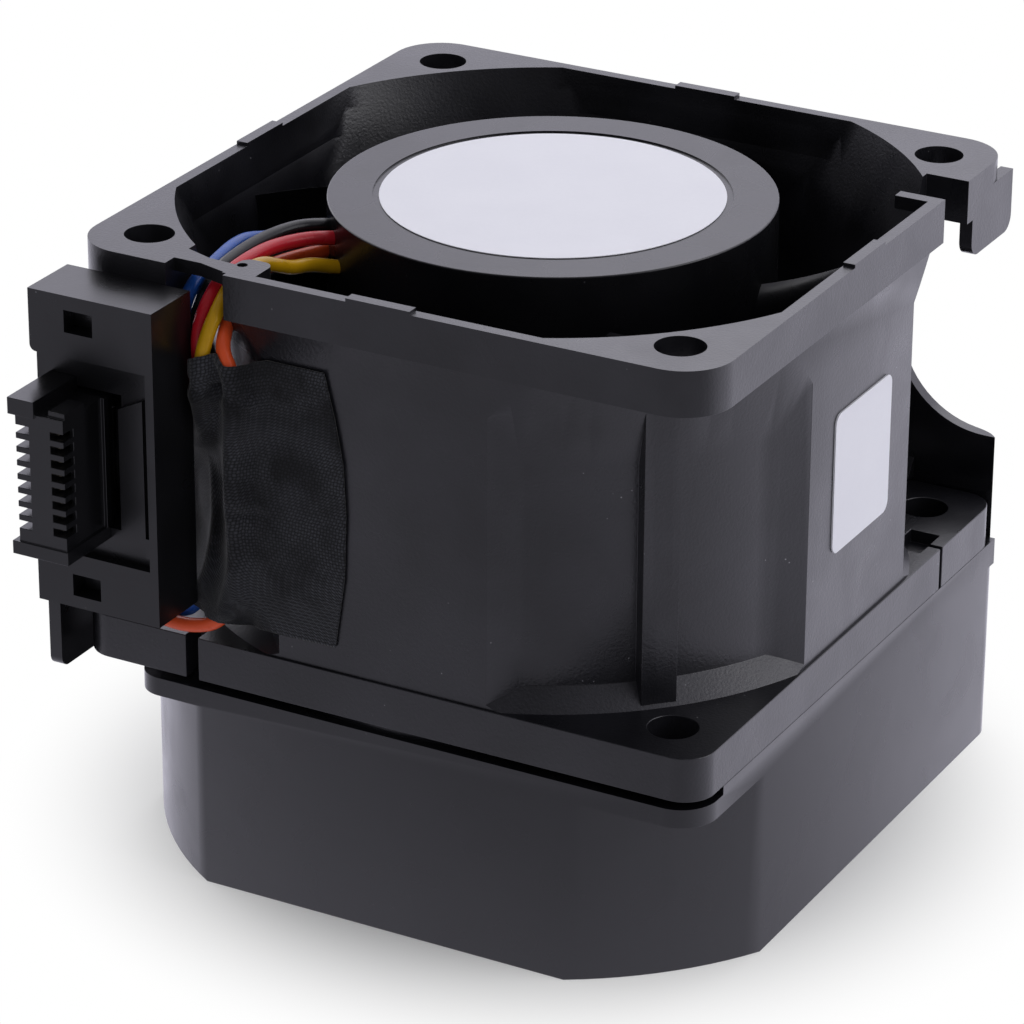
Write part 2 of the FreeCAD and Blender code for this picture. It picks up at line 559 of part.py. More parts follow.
def build_outlet_stator():
    floor = "base_floor"
    rim_low = "fan_top - base_height"
    boss_low = "base_floor - board_drop - board_thickness - 1"
    cup = turned([
        ("tube_radius", floor), ("tube_radius", boss_low), ("tube_radius + 1.2", boss_low),
        ("tube_radius + 1.2", floor), ("base_radius - base_wall", floor),
        ("base_radius - base_wall", rim_low), ("base_radius", rim_low), ("base_radius", "fan_top"),
        ("base_radius - label_ring", "fan_top"), ("base_radius - label_ring", "fan_top - label_recess"),
        ("shaft_diameter", "fan_top - label_recess"), ("shaft_diameter", floor)])
    doc.recompute()
    # Each vane sweeps from the motor base out to the flared wall, leaning into the air's swirl.
    inner = size("base_radius")
    outer = size("bore_radius + mouth_spread")
    middle = size("fan_top - vane_top - vane_height/2")
    height = size("vane_height")
    thick = size("vane_thickness")
    sweep = math.radians(size("vane_sweep"))
    root = size("vane_root")
    steps = 5
    sections = []
    for i in range(steps):
        share = i / (steps - 1)
        radius = inner - root + (outer - inner + root + size("vane_overrun")) * share
        sections.append(wing_section(radius, sweep * share, height, math.radians(100 - 14 * share),
                                     thick * 0.9, thick, middle))
    vane = Part.makeLoft(sections, True, False)
    channel = common(fuse(cylinder("bore_radius", THROUGH),
                          cone("bore_radius", "bore_radius + mouth_spread",
                               ("fan_top - flare_depth", "fan_top"))),
                     box(("-half + rim_wall", "half - rim_wall"), ("-half + rim_wall", "half - rim_wall"),
                         THROUGH))
    vanes = common(around(shaped(vane), VANES, 3.0), channel)
    vanes = cut(vanes, cylinder("base_radius - base_wall/2", THROUGH))
    node("outlet_stator", fuse(cup, vanes))


# ---------------------------------------------------------------- impeller

def build_impeller():
    nose = "hub_nose"
    top = "hub_open"
    # A boss round the shaft bush joins the closed nose; a soft edge turns the air outwards.
    hub = turned([
        ("bush_radius", nose), ("hub_radius - nose_round", nose), ("hub_radius", f"{nose} + nose_round"),
        ("hub_radius", top), ("yoke_radius", top), ("yoke_radius", f"{nose} + nose_wall"),
        ("bush_radius", f"{nose} + nose_wall")])
    doc.recompute()
    root = size("hub_radius")
    tip = size("bore_radius - tip_clearance")
    low = size("hub_nose + nose_round")
    high = size("hub_open")
    span = high - low
    buried = size("blade_root")
    steps = 5
    sections = []
    for i in range(steps):
        share = i / (steps - 1)
        radius = root - buried + (tip - root + buried + size("blade_overrun")) * share
        pitch = math.radians(size("root_pitch") + (size("tip_pitch") - size("root_pitch")) * share)
        chord = (span - size("blade_lift") * 2) / math.sin(pitch)
        sections.append(wing_section(radius, -0.16 * share, chord, pitch,
                                     -size("blade_camber"), size("blade_thickness") * (1 - 0.35 * share),
                                     (low + high) / 2))
    blade = Part.makeLoft(sections, True, False)
    swept = ring("hub_radius - hub_wall/2", "bore_radius - tip_clearance", (f"{nose} + 0.3", top))
    blades = common(around(shaped(blade), BLADES), swept)
    node("impeller", fuse(hub, blades))


# ---------------------------------------------------------------- motor inside the hub

def build_motor():
    nose_in = "(hub_nose + nose_wall)"
    yoke_in = f"({nose_in} + yoke_wall)"
    node("rotor_yoke", turned([
        ("bush_radius", nose_in), ("yoke_radius", nose_in), ("yoke_radius", "hub_open"),
        ("magnet_radius", "hub_open"), ("magnet_radius", yoke_in), ("bush_radius", yoke_in)]))
    node("magnet_ring", ring("magnet_radius - magnet_thickness", "magnet_radius",
                             (f"{yoke_in} + magnet_inset", "hub_open - magnet_inset")))
    bush_top = f"({yoke_in} + bush_height)"
    node("shaft_bush", ring("shaft_diameter/2", "bush_radius", ("hub_nose", bush_top)))
    shaft_top = "(fan_top - shaft_top_inset)"
    groove = "(base_floor - 0.9)"
    node("shaft", turned([
        ("0", "hub_nose"), ("shaft_diameter/2", "hub_nose"),
        ("shaft_diameter/2", f"{groove} - clip_thickness"),
        ("shaft_diameter/2 - 0.3", f"{groove} - clip_thickness"), ("shaft_diameter/2 - 0.3", groove),
        ("shaft_diameter/2", groove), ("shaft_diameter/2", shaft_top), ("0", shaft_top)]))

    # Two ball bearings sit in the tube, each against the shoulder between them.
    high_top = f"({groove} - clip_thickness - 0.3)"
    high = (f"{high_top} - bearing_width", high_top)
    low = ("tube_bottom + 0.4", "tube_bottom + 0.4 + bearing_width")
    node("bearing_tube", turned([
        ("bearing_diameter/2", "tube_bottom"), ("tube_radius", "tube_bottom"), ("tube_radius", "base_floor"),
        ("bearing_diameter/2", "base_floor"), ("bearing_diameter/2", high[0]),
        ("bearing_diameter/2 - tube_shoulder", high[0]), ("bearing_diameter/2 - tube_shoulder", low[1]),
        ("bearing_diameter/2", low[1])]))
    outer = doc.addObject("Part::Compound", "outer_races")
    outer.Links = [ring("bearing_diameter/2 - race_wall", "bearing_diameter/2", z) for z in (high, low)]
    node("bearing_outer_races", outer)
    inner = doc.addObject("Part::Compound", "inner_races")
    inner.Links = [ring("shaft_diameter/2", "shaft_diameter/2 + race_wall", z) for z in (high, low)]
    node("bearing_inner_races", inner)
    pitch = size("(shaft_diameter/2 + race_wall + bearing_diameter/2 - race_wall)/2")
    balls = []
    for z0, z1 in (high, low):
        middle = (size(z0) + size(z1)) / 2
        for i in range(BALLS):
            a = 2 * math.pi * i / BALLS
            place = V(pitch * math.cos(a), pitch * math.sin(a), middle)
            balls.append(Part.makeSphere(size("ball_diameter/2"), place))
    node("bearing_balls", shaped(Part.Compound(balls)))
    clip = cut(ring("shaft_diameter/2 - 0.3", "clip_radius", (f"{groove} - clip_thickness", groove)),
               box(("0", "clip_radius + 1"), ("-0.9", "0.9"), (f"{groove} - 1", f"{groove} + 1")))
    node("retaining_clip", clip)

    spring_low = size(bush_top)
    spring_high = size(low[0])
    turns = 2.5
    wire = 0.25
    helix = Part.makeHelix((spring_high - spring_low - 2 * wire) / turns,
                           spring_high - spring_low - 2 * wire, size("shaft_diameter/2 + race_wall/2 + 0.1"))
    helix.translate(V(0, 0, spring_low + wire))
    start = helix.Edges[0].valueAt(helix.Edges[0].FirstParameter)
    tangent = helix.Edges[0].tangentAt(helix.Edges[0].FirstParameter)
    circle = Part.Wire([Part.Circle(start, tangent, wire).toShape()])
    spring = Part.Wire(helix.Edges).makePipeShell([circle], True, True)
    node("preload_spring", shaped(spring))

    # Laminated core with salient teeth, its two insulators, the windings and the circuit board.
    core_low = "(tube_bottom + core_inset)"
    core_high = "(board_low - coil_gap - coil_build)"
    core = doc.addObject("PartDesign::Body", "core")
    back_iron = polygon(core, "XZ_Plane", [
        ("tube_radius", core_low), ("tube_radius + core_ring", core_low),
        ("tube_radius + core_ring", core_high), ("tube_radius", core_high)])
    turn = core.newObject("PartDesign::Revolution", "back_iron")
    turn.Profile = back_iron
    turn.ReferenceAxis = (back_iron, ["V_Axis"])
    turn.Angle = 360
    tip_in = "(core_radius - tooth_tip)"
    tooth = polygon(core, "XY_Plane", [
        ("tube_radius + core_ring/2", "-tooth_width/2"), (tip_in, "-tooth_width/2"),
        (f"{tip_in} - 0.6", "-tooth_width*1.7"), ("core_radius*0.93", "-tooth_width*1.9"),
        ("core_radius", "-tooth_width*0.6"), ("core_radius", "tooth_width*0.6"),
        ("core_radius*0.93", "tooth_width*1.9"), (f"{tip_in} - 0.6", "tooth_width*1.7"),
        (tip_in, "tooth_width/2"), ("tube_radius + core_ring/2", "tooth_width/2")], core_low)
    pad = core.newObject("PartDesign::Pad", "tooth")
    pad.Profile = tooth
    bind(pad, Length=f"{core_high} - {core_low}")
    doc.recompute()
    pattern = core.newObject("PartDesign::PolarPattern", "teeth")
    pattern.Originals = [pad]
    pattern.Axis = (plane_of(core, "Z_Axis"), [""])
    pattern.Angle = 360
    pattern.Occurrences = TEETH
    core.Tip = pattern
    node("stator_core", core)

    caps = doc.addObject("Part::Compound", "caps")
    caps.Links = [ring("tube_radius", "tube_radius + core_ring", z)
                  for z in ((f"{core_low} - insulator_thickness", core_low),
                            (core_high, f"{core_high} + insulator_thickness"))]
    node("winding_insulators", caps)
    coil_x = ("tube_radius + core_ring + 0.3", f"{tip_in} - 0.9")
    coil_out = box(coil_x, ("-tooth_width/2 - coil_build", "tooth_width/2 + coil_build"),
                   (f"{core_low} - coil_build", f"{core_high} + coil_build"))
    coil_in = box(("tube_radius", "core_radius"), ("-tooth_width/2 - 0.05", "tooth_width/2 + 0.05"),
                  (f"{core_low} - 0.05", f"{core_high} + 0.05"))
    coil = rounded(cut(coil_out, coil_in), "coil_build*0.6",
                   lambda e: abs(e.BoundBox.XLength - (e.BoundBox.DiagonalLength)) < 1e-6
                   and e.BoundBox.YMax * e.BoundBox.YMax > size("tooth_width/2 + coil_build/2") ** 2)
    node("stator_coils", around(coil, TEETH))

    board_top = "(base_floor - board_drop)"
    board = ring("tube_radius + 1.3", "base_radius - base_wall - board_radius_gap",
                 (f"{board_top} - board_thickness", board_top))
    node("circuit_board", board)
    # Driver chip, two transistors and their passives stand round the board, with one capacitor.
    chips = []
    out = size("base_radius*0.62")
    high = size(board_top)
    for angle, length, height in ((20, "driver_length", "driver_height"), (75, "part_length", "part_height"),
                                  (105, "part_length", "part_height"), (135, "part_length", "part_height"),
                                  (170, "part_length*0.6", "part_height*0.8"),
                                  (240, "part_length*0.6", "part_height*0.8")):
        side = size(length)
        chip = Part.makeBox(side, side, size(height), V(out - side / 2, -side / 2, high))
        chip.rotate(V(0, 0, 0), V(0, 0, 1), angle)
        chips.append(chip)
    capacitor = Part.makeCylinder(size("capacitor_diameter/2"), size("capacitor_height"), V(out, 0, high))
    capacitor.rotate(V(0, 0, 0), V(0, 0, 1), -45)
    node("board_components", shaped(Part.Compound(chips + [capacitor])))


# ---------------------------------------------------------------- labels, tape and wires

def build_labels():
    node("hub_label", cylinder("base_radius - label_ring - label_gap",
                               ("fan_top - label_recess", "fan_top - label_recess + label_thickness")))
    low = "side_label_low"
    plate = box(("flat_face", "flat_face + label_thickness"),
                ("side_label_shift - side_label_width/2", "side_label_shift + side_label_width/2"),
                (low, f"{low} + side_label_height"))
    node("side_label", rounded(plate, "side_label_corner", lambda e: abs(e.BoundBox.XLength) > 0.1
                               and e.BoundBox.YLength + e.BoundBox.ZLength < 1e-6))


# The tape's cut edge: shares of the half width and of the fan's depth, from the bracket round.
TAPE_OUTLINE = ((None, 0.174), (0.437, 0.166), (0.177, 0.182), (0.133, 0.342), (0.11, 0.516),
                (0.12, 0.684), (0.153, 0.832), (0.367, 0.821), (None, 0.837))


def build_tape():
    """A strip of cloth tape: flat on the barrel's face, then over the wires to the bracket."""
    thick = "tape_thickness"
    face = "-flat_face"
    over = "-half - tape_bulge"
    left = f"{BRACKET_X[1]} + tape_gap"
    lap = f"{BRACKET_X[1]} - tape_gap*3"
    lift = "-half + tape_lap"
    plan = prism("XY_Plane", [
        ("-half*0.1", face), (f"{lift} + tape_rise", face), (lift, over), (left, over),
        (left, f"{over} - {thick}"), (f"{lift} + {thick}", f"{over} - {thick}"),
        (f"{lift} + tape_rise + {thick}", f"{face} - {thick}"), ("-half*0.1", f"{face} - {thick}")],
        ("fan_base", "fan_top"))
    outline = [(lap if across is None else f"-half*{across}", f"fan_top - fan_depth*{down}")
               for across, down in TAPE_OUTLINE]
    front = prism("XZ_Plane", outline, ("half - 1", "half + tape_bulge*2"))
    node("wire_tape", common(plan, front))


# Routes of the five lead wires, from the motor base over the vanes, out through the wire gate,
# down behind the tape and into the back of the plug.  A route has its start, as an angle about
# the axis, a reach beyond the motor base and a drop below the top; its bend on the way to the
# gate, as a share of that way, a bow to its left and a drop; its points at the gate, measured
# from the frame's wire-side corner and below the top; and its lower points, measured from that
# corner and as shares of the way from the gate's floor down to the lower flange.
WIRE_ROUTES = {
    "blue": ((209.99, 0.29, 2.1), (0.45, -0.75, 2.0),
        [(10.5, 11.4, 1.95), (10.4, 3.6, 1.95), (10.45, 0.8, 4.6)],
        [(10.25, 3.0, 0.116), (11.3, 4.8, 0.282), (12.0, 4.4, 0.458), (12.8, 3.2, 0.655),
         (12.7, 1.1, 0.813), (9.6, 1.4, 0.93), (5.0, 1.6, 0.852), (3.8, 3.2, 0.704), (4.3, 2.5, 0.574),
         (3.8, -4.0, 0.546)]),
    "black": ((213.91, 0.29, 3.5), (0.476, -0.46, 2.3),
        [(11.8, 10.4, 1.9), (11.85, 4.0, 1.95), (11.83, 0.85, 5.3)],
        [(10.85, 0.85, 0.137), (7.4, 4.7, 0.239), (3.8, 1.5, 0.317), (3.6, -4.0, 0.317)]),
    "red": ((217.8, 0.29, 2.1), (0.487, -0.29, 2.0),
        [(13.15, 9.4, 1.95), (13.1, 2.4, 2.0), (12.8, -1.0, 5.2)],
        [(13.1, 0.1, 0.162), (11.4, 2.5, 0.282), (7.6, 4.8, 0.338), (3.8, 1.6, 0.373),
         (3.6, -4.0, 0.373)]),
    "orange": ((221.69, 0.29, 3.5), (0.483, -0.05, 3.5),
        [(14.4, 7.6, 3.4), (14.5, 3.0, 3.4)],
        [(15.1, -0.1, 0.028), (16.1, -0.4, 0.176), (16.1, -0.2, 0.401), (16.4, -0.1, 0.761),
         (15.0, -0.3, 0.915), (11.2, -0.3, 0.965), (6.6, 0.1, 0.951), (2.8, 1.3, 0.852),
         (2.2, 2.4, 0.683), (3.0, 1.6, 0.514), (3.6, -4.0, 0.486)]),
    "yellow": ((225.6, 0.29, 2.1), (0.501, -0.25, 2.0),
        [(14.5, 8.8, 1.95), (14.4, 2.3, 2.0), (14.1, -1.1, 5.4)],
        [(14.3, -0.6, 0.176), (13.0, 1.8, 0.359), (8.4, 4.7, 0.415), (3.8, 1.6, 0.43),
         (3.6, -4.0, 0.43)]),
}


def route_wire(points):
    """Straight runs joined by tangent arcs as large as the two runs allow."""
    count = len(points)
    runs = [(points[i + 1] - points[i]).Length for i in range(count - 1)]
    edges = []
    radii = []
    start = points[0]
    for i in range(1, count - 1):
        back = (points[i - 1] - points[i]).normalize()
        ahead = (points[i + 1] - points[i]).normalize()
        turn = math.pi - back.getAngle(ahead)
        setback = 0.45 * min(runs[i - 1], runs[i])
        radius = setback / math.tan(turn / 2)
        centre = points[i] + (back + ahead).normalize() * (radius / math.cos(turn / 2))
        first = points[i] + back * setback
        last = points[i] + ahead * setback
        middle = centre + (points[i] - centre).normalize() * radius
        edges.append(Part.LineSegment(start, first).toShape())
        edges.append(Part.Arc(first, middle, last).toShape())
        radii.append(radius)
        start = last
    edges.append(Part.LineSegment(start, points[-1]).toShape())
    return Part.Wire(edges), radii


def route_points(start, bend, gate, lower):
    """The corners of one route, tied to the motor base, the frame's corner and the fan's depth."""
    top = size("fan_top")
    corner = V(size("-half"), size("-half"), 0)
    gate_floor = top - size("flange_thickness + gate_sill")
    way_down = gate_floor - size("fan_base + flange_thickness")
    angle, reach, drop = start
    out = size("base_radius") + reach
    first = V(out * math.cos(math.radians(angle)), out * math.sin(math.radians(angle)), top - drop)
    rest = [corner + V(across, along, top - down) for across, along, down in gate]
    rest += [corner + V(across, along, gate_floor - share * way_down) for across, along, share in lower]
    share, bow, drop = bend
    way = V(rest[0].x - first.x, rest[0].y - first.y, 0)
    side = V(-way.y, way.x, 0).normalize() * bow
    second = V(first.x, first.y, top - drop) + way * share + side
    return [first, second, *rest]


def build_wires():
    radius = size("wire_diameter/2")
    for colour, route in WIRE_ROUTES.items():
        points = route_points(*route)
        path, radii = route_wire(points)
        section = Part.Wire([Part.Circle(points[0], points[1] - points[0], radius).toShape()])
        tube = path.makePipeShell([section], True, False)
        share = tube.Volume / (math.pi * radius ** 2 * path.Length)
        print(f"wire_{colour}: length {path.Length:.1f}, radii {min(radii):.1f} to {max(radii):.1f}, "
              f"volume share {share:.4f}")
        node(f"wire_{colour}", shaped(tube))


build_fan_frame()
build_inlet_duct()
build_connector_bracket()
build_connector()
build_outlet_stator()
build_impeller()
build_motor()
build_labels()
build_tape()
build_wires()

# ---------------------------------------------------------------- check and write

doc.recompute()
for obj in doc.Objects:
    if "Invalid" in obj.State or "Error" in obj.State:
        raise RuntimeError(f"{obj.Name} ({obj.Label}) failed: {obj.State}")
os.makedirs("parts", exist_ok=True)
for name, obj in NODES.items():
    shape = obj.Shape
    if shape.isNull() or not shape.isValid() or not shape.Solids:
        raise RuntimeError(f"{name} has no valid solid")
    shape.exportStep(f"parts/{name}.step")
    print(f"{name:22s} solids {len(shape.Solids):2d}  volume {shape.Volume:10.2f} mm3")
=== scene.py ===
# %% [markdown]
# # A server fan module, dressed for its portrait
#
# The solids of this fan come from a CAD model, already in their places.  This lesson gives them
# what the solids lack: light, a camera, finishes, and the small soft things such as tape and
# leads.  Every length is in metres, in the frame of the CAD model: the fan's axis is +Z, the
# duct stands on the floor at zero, the leads and the plug are at -Y and the label is at +X.

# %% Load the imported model
import math

import bmesh
import bpy
import numpy as np
from mathutils import Matrix, Vector


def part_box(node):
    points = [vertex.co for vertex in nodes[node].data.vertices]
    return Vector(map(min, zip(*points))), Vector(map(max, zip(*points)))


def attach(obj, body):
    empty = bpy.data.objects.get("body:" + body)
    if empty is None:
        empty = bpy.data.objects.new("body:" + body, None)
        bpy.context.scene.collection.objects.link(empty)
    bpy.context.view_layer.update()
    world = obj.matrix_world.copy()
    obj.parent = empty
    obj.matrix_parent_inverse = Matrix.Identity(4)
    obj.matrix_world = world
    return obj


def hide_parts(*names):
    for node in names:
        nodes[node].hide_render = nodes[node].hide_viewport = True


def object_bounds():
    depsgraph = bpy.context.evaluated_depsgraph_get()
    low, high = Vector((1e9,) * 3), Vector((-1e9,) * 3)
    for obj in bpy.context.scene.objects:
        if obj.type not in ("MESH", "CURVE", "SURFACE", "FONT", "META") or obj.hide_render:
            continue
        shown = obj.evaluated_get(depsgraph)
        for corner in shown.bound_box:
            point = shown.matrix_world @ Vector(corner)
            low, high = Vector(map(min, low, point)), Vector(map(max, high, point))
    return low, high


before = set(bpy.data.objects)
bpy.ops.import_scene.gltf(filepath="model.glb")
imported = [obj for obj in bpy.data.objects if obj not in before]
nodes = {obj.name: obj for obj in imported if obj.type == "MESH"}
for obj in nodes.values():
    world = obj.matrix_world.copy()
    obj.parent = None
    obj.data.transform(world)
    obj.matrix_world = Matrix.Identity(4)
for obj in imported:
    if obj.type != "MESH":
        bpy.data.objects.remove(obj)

MM = 0.001
CAD_LOW, CAD_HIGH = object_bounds()


def linked(name, data):
    """A new object that holds this data, in the scene."""
    made = bpy.data.objects.new(name, data)
    bpy.context.scene.collection.objects.link(made)
    return made


print("box in mm:", [round(v / MM, 1) for v in CAD_HIGH - CAD_LOW])

# %% [markdown]
# ## The camera
#
# The fan is small and is seen from well above its own height with a long lens, so its edges
# hardly converge.  A camera can be placed by hand until it looks right, or worked out: here it
# stands on a sphere round the middle of the outlet, at a known azimuth and elevation, and is
# then slid down a little in its own plane.  A lens shift frames the object without turning it.

# %% Camera
AZIMUTH, ELEVATION, ROLL = math.radians(28.14), math.radians(24.439), math.radians(-0.47)
DISTANCE = 419.4 * MM
SLIDE_DOWN = 26.16 * MM
SENSOR = 36.0
FOCAL_LENGTH = 171.79
SHIFT_X, SHIFT_Y = -0.0401, -0.0137

outlet_centre = Vector((0, 0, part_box("outlet_stator")[1].z))
back = Vector((math.sin(AZIMUTH) * math.cos(ELEVATION), -math.cos(AZIMUTH) * math.cos(ELEVATION),
               math.sin(ELEVATION)))
level = Vector((math.cos(AZIMUTH), math.sin(AZIMUTH), 0))
upward = back.cross(level)
right = level * math.cos(ROLL) - upward * math.sin(ROLL)
up = level * math.sin(ROLL) + upward * math.cos(ROLL)

lens = bpy.data.cameras.new("camera")
lens.sensor_width = SENSOR
lens.lens = FOCAL_LENGTH
lens.shift_x, lens.shift_y = SHIFT_X, SHIFT_Y
lens.clip_start, lens.clip_end = 0.01, 10
camera = linked("camera", lens)
camera.matrix_world = Matrix((right, up, back)).transposed().to_4x4()
camera.location = outlet_centre - up * SLIDE_DOWN + back * DISTANCE
bpy.context.scene.camera = camera
bpy.context.scene.view_settings.view_transform = "Standard"
print("camera at", [round(v / MM) for v in camera.location], "mm")

# %% [markdown]
# ## Helpers for materials
#
# A material is a small graph of shader nodes.  One function adds a node, sets its options and
# wires its sockets.  Colours are written as the usual hex values and turned to the linear
# numbers that the renderer counts with.

# %% Colours, nodes and an empty material
def hexa(code):
    """A linear colour from an sRGB hex code."""
    parts = [int(code[i:i + 2], 16) / 255 for i in (0, 2, 4)]
    return (*[v / 12.92 if v <= 0.04045 else ((v + 0.055) / 1.055) ** 2.4 for v in parts], 1)


def add(tree, kind, inputs=None, **options):
    """One node: options are its settings, and inputs are values, colours or other sockets."""
    made = tree.nodes.new(kind)
    for key, value in options.items():
        setattr(made, key, value)
    for key, value in (inputs or {}).items():
        if isinstance(value, bpy.types.NodeSocket):
            tree.links.new(value, made.inputs[key])
        else:
            made.inputs[key].default_value = value
    return made


def material(name):
    """An empty material, its tree, its shader and the place of each point in the object."""
    made = bpy.data.materials.new(name)
    made.use_nodes = True
    tree = made.node_tree
    tree.nodes.clear()
    shader = add(tree, "ShaderNodeBsdfPrincipled")
    add(tree, "ShaderNodeOutputMaterial", {"Surface": shader.outputs[0]})
    return made, tree, shader, add(tree, "ShaderNodeTexCoord").outputs["Object"]


print("middle grey in linear numbers:", round(hexa("808080")[0], 3))

# %% [markdown]
# Nearly every recipe below holds the same few nodes: noise, scattered cells, a sum, a change of
# range, a mix of two colours and a bump.  Each has a short name here and gives back the socket
# with its result, so a recipe reads like a list of ingredients.

# %% The nodes that the recipes share
def per(size_mm):
    """The texture scale at which one feature of a pattern is this many millimetres."""
    return 1 / (size_mm * MM)


def noise(tree, place, size_mm, detail, distortion=0.0):
    """Soft noise whose blotches are this many millimetres across."""
    return add(tree, "ShaderNodeTexNoise", {"Vector": place, "Scale": per(size_mm), "Detail": detail,
                                            "Distortion": distortion}).outputs[0]


def cells(tree, place, size_mm):
    """How far each point lies from the middle of the nearest scattered cell."""
    return add(tree, "ShaderNodeTexVoronoi", {"Vector": place, "Scale": per(size_mm),
                                              "Randomness": 1.0}).outputs["Distance"]


def reckon(tree, operation, first, second=0.0, **options):
    """One sum on two numbers, each a socket or a plain value."""
    return add(tree, "ShaderNodeMath", {0: first, 1: second}, operation=operation, **options).outputs[0]


def ranged(tree, value, low, high, to_low=0.0, to_high=1.0, **options):
    """A value taken from one range to another, and held inside it."""
    return add(tree, "ShaderNodeMapRange", {"Value": value, 1: low, 2: high, 3: to_low, 4: to_high},
               **options).outputs[0]


def blend(tree, share, first, second):
    """A mix of two colours, each a socket or a hex code."""
    first, second = (hexa(c) if isinstance(c, str) else c for c in (first, second))
    return add(tree, "ShaderNodeMix", {0: share, 6: first, 7: second}, data_type="RGBA").outputs[2]


def bumped(tree, height, strength, depth_mm, under=None):
    """A bump of this depth, on top of another bump if one is given."""
    sockets = {"Height": height, "Strength": strength, "Distance": depth_mm * MM}
    if under is not None:
        sockets["Normal"] = under
    return add(tree, "ShaderNodeBump", sockets).outputs[0]


def wire_up(tree, shader, base, rough=None, bump=None):
    """Lead a recipe's colour, roughness and bump into its shader."""
    for label, result in (("Base Color", base), ("Roughness", rough), ("Normal", bump)):
        if result is not None:
            tree.links.new(result, shader.inputs[label])


def wear(node_name, made):
    """Dress one CAD node in a material."""
    nodes[node_name].data.materials.clear()
    nodes[node_name].data.materials.append(made)


print("CAD nodes to dress:", len(nodes))

# %% [markdown]
# ## Moulded black plastic
#
# The fan frame, the duct and the bracket are PBT filled with glass fibre, coloured through with
# carbon black.  Such plastic hardly has a colour of its own: what the eye reads is the white
# room mirrored in its skin, faint where a face is met squarely and strong where it is met at a
# slant.  So the base is nearly black, and the index of refraction does the rest.  The mould was
# spark-eroded, which leaves a fine grain.  It could be real bumps in the mesh, but at a fifth
# of a millimetre a bump in the shader does the same for nothing.

# %% Moulded plastic
DUST = "8a8990"


def moulded_plastic(name, colour, light_colour, roughness, grain_mm, grain_depth, speck,
                    ripple=0.0, ior=1.54):
    """Carbon-black plastic: a cloudy base, a spark-eroded grain, flow ripples and stray dust."""
    made, tree, shader, place = material(name)
    cloudy = noise(tree, place, 9, 4.0)
    grain = noise(tree, place, grain_mm, 3.0)
    flow = noise(tree, place, 6, 2.0, 0.6)
    base = blend(tree, ranged(tree, cloudy, 0.35, 0.65), colour, light_colour)
    dot = ranged(tree, cells(tree, place, 1.3), 0.07, 0.03)
    rare = ranged(tree, cloudy, 0.56, 0.64, 0.0, speck)
    dusty = blend(tree, reckon(tree, "MULTIPLY", dot, rare), base, DUST)
    rough = ranged(tree, flow, 0.3, 0.7, roughness - 0.04, roughness + 0.05)
    fine = bumped(tree, grain, 0.5, grain_depth)
    wire_up(tree, shader, dusty, rough, bumped(tree, flow, 0.4, ripple, fine))
    shader.inputs["IOR"].default_value = ior
    return made


frame_plastic = moulded_plastic("spark_eroded_black_PBT", "0c0c10", "1b1b20", 0.30, 0.26, 0.040, 0.8, 0.03)
duct_plastic = moulded_plastic("polished_black_PBT", "0d0d11", "121216", 0.25, 0.34, 0.010, 0.2, 0.05)
bracket_plastic = moulded_plastic("moulded_black_nylon", "0c0c0f", "121215", 0.30, 0.24, 0.014, 0.6, 0.03)
plug_plastic = moulded_plastic("glossy_black_nylon", "0b0b0d", "101013", 0.22, 0.35, 0.008, 0.2)
blade_plastic = moulded_plastic("moulded_black_PBT_blades", "0a0a0d", "101013", 0.27, 0.40, 0.012, 0.2,
                                0.02, 1.42)
PLASTICS = (frame_plastic, duct_plastic, bracket_plastic, plug_plastic, blade_plastic)
print("plastics:", ", ".join(plastic.name for plastic in PLASTICS))

# %% [markdown]
# ## Eased edges
#
# A mould can't cut a perfectly sharp edge, and every edge of this plastic ends in a radius of a
# tenth or two of a millimetre.  That thin round catches the light as a bright line, and without
# it a part looks like paper.  The edges could be rounded in CAD, but a bevel modifier on a
# merged copy of each solid is quicker, and the weight on each edge says how round it gets.
# The seams where the frame's three solids meet get no weight, because the real frame is one
# moulding and has no groove there.

# %% A merged copy with eased edges
SHARP = math.radians(32)
FLAT = math.radians(1)
MERGE = 0.002 * MM
# How near a spot counts as on a seam or a rim, and the share of the radius that vanes get.
TOUCH, BARELY = 0.05 * MM, 0.2
OUTLET_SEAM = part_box("frame_barrel")[1].z
INLET_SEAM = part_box("frame_barrel")[0].z
BORE = 28.9 * MM


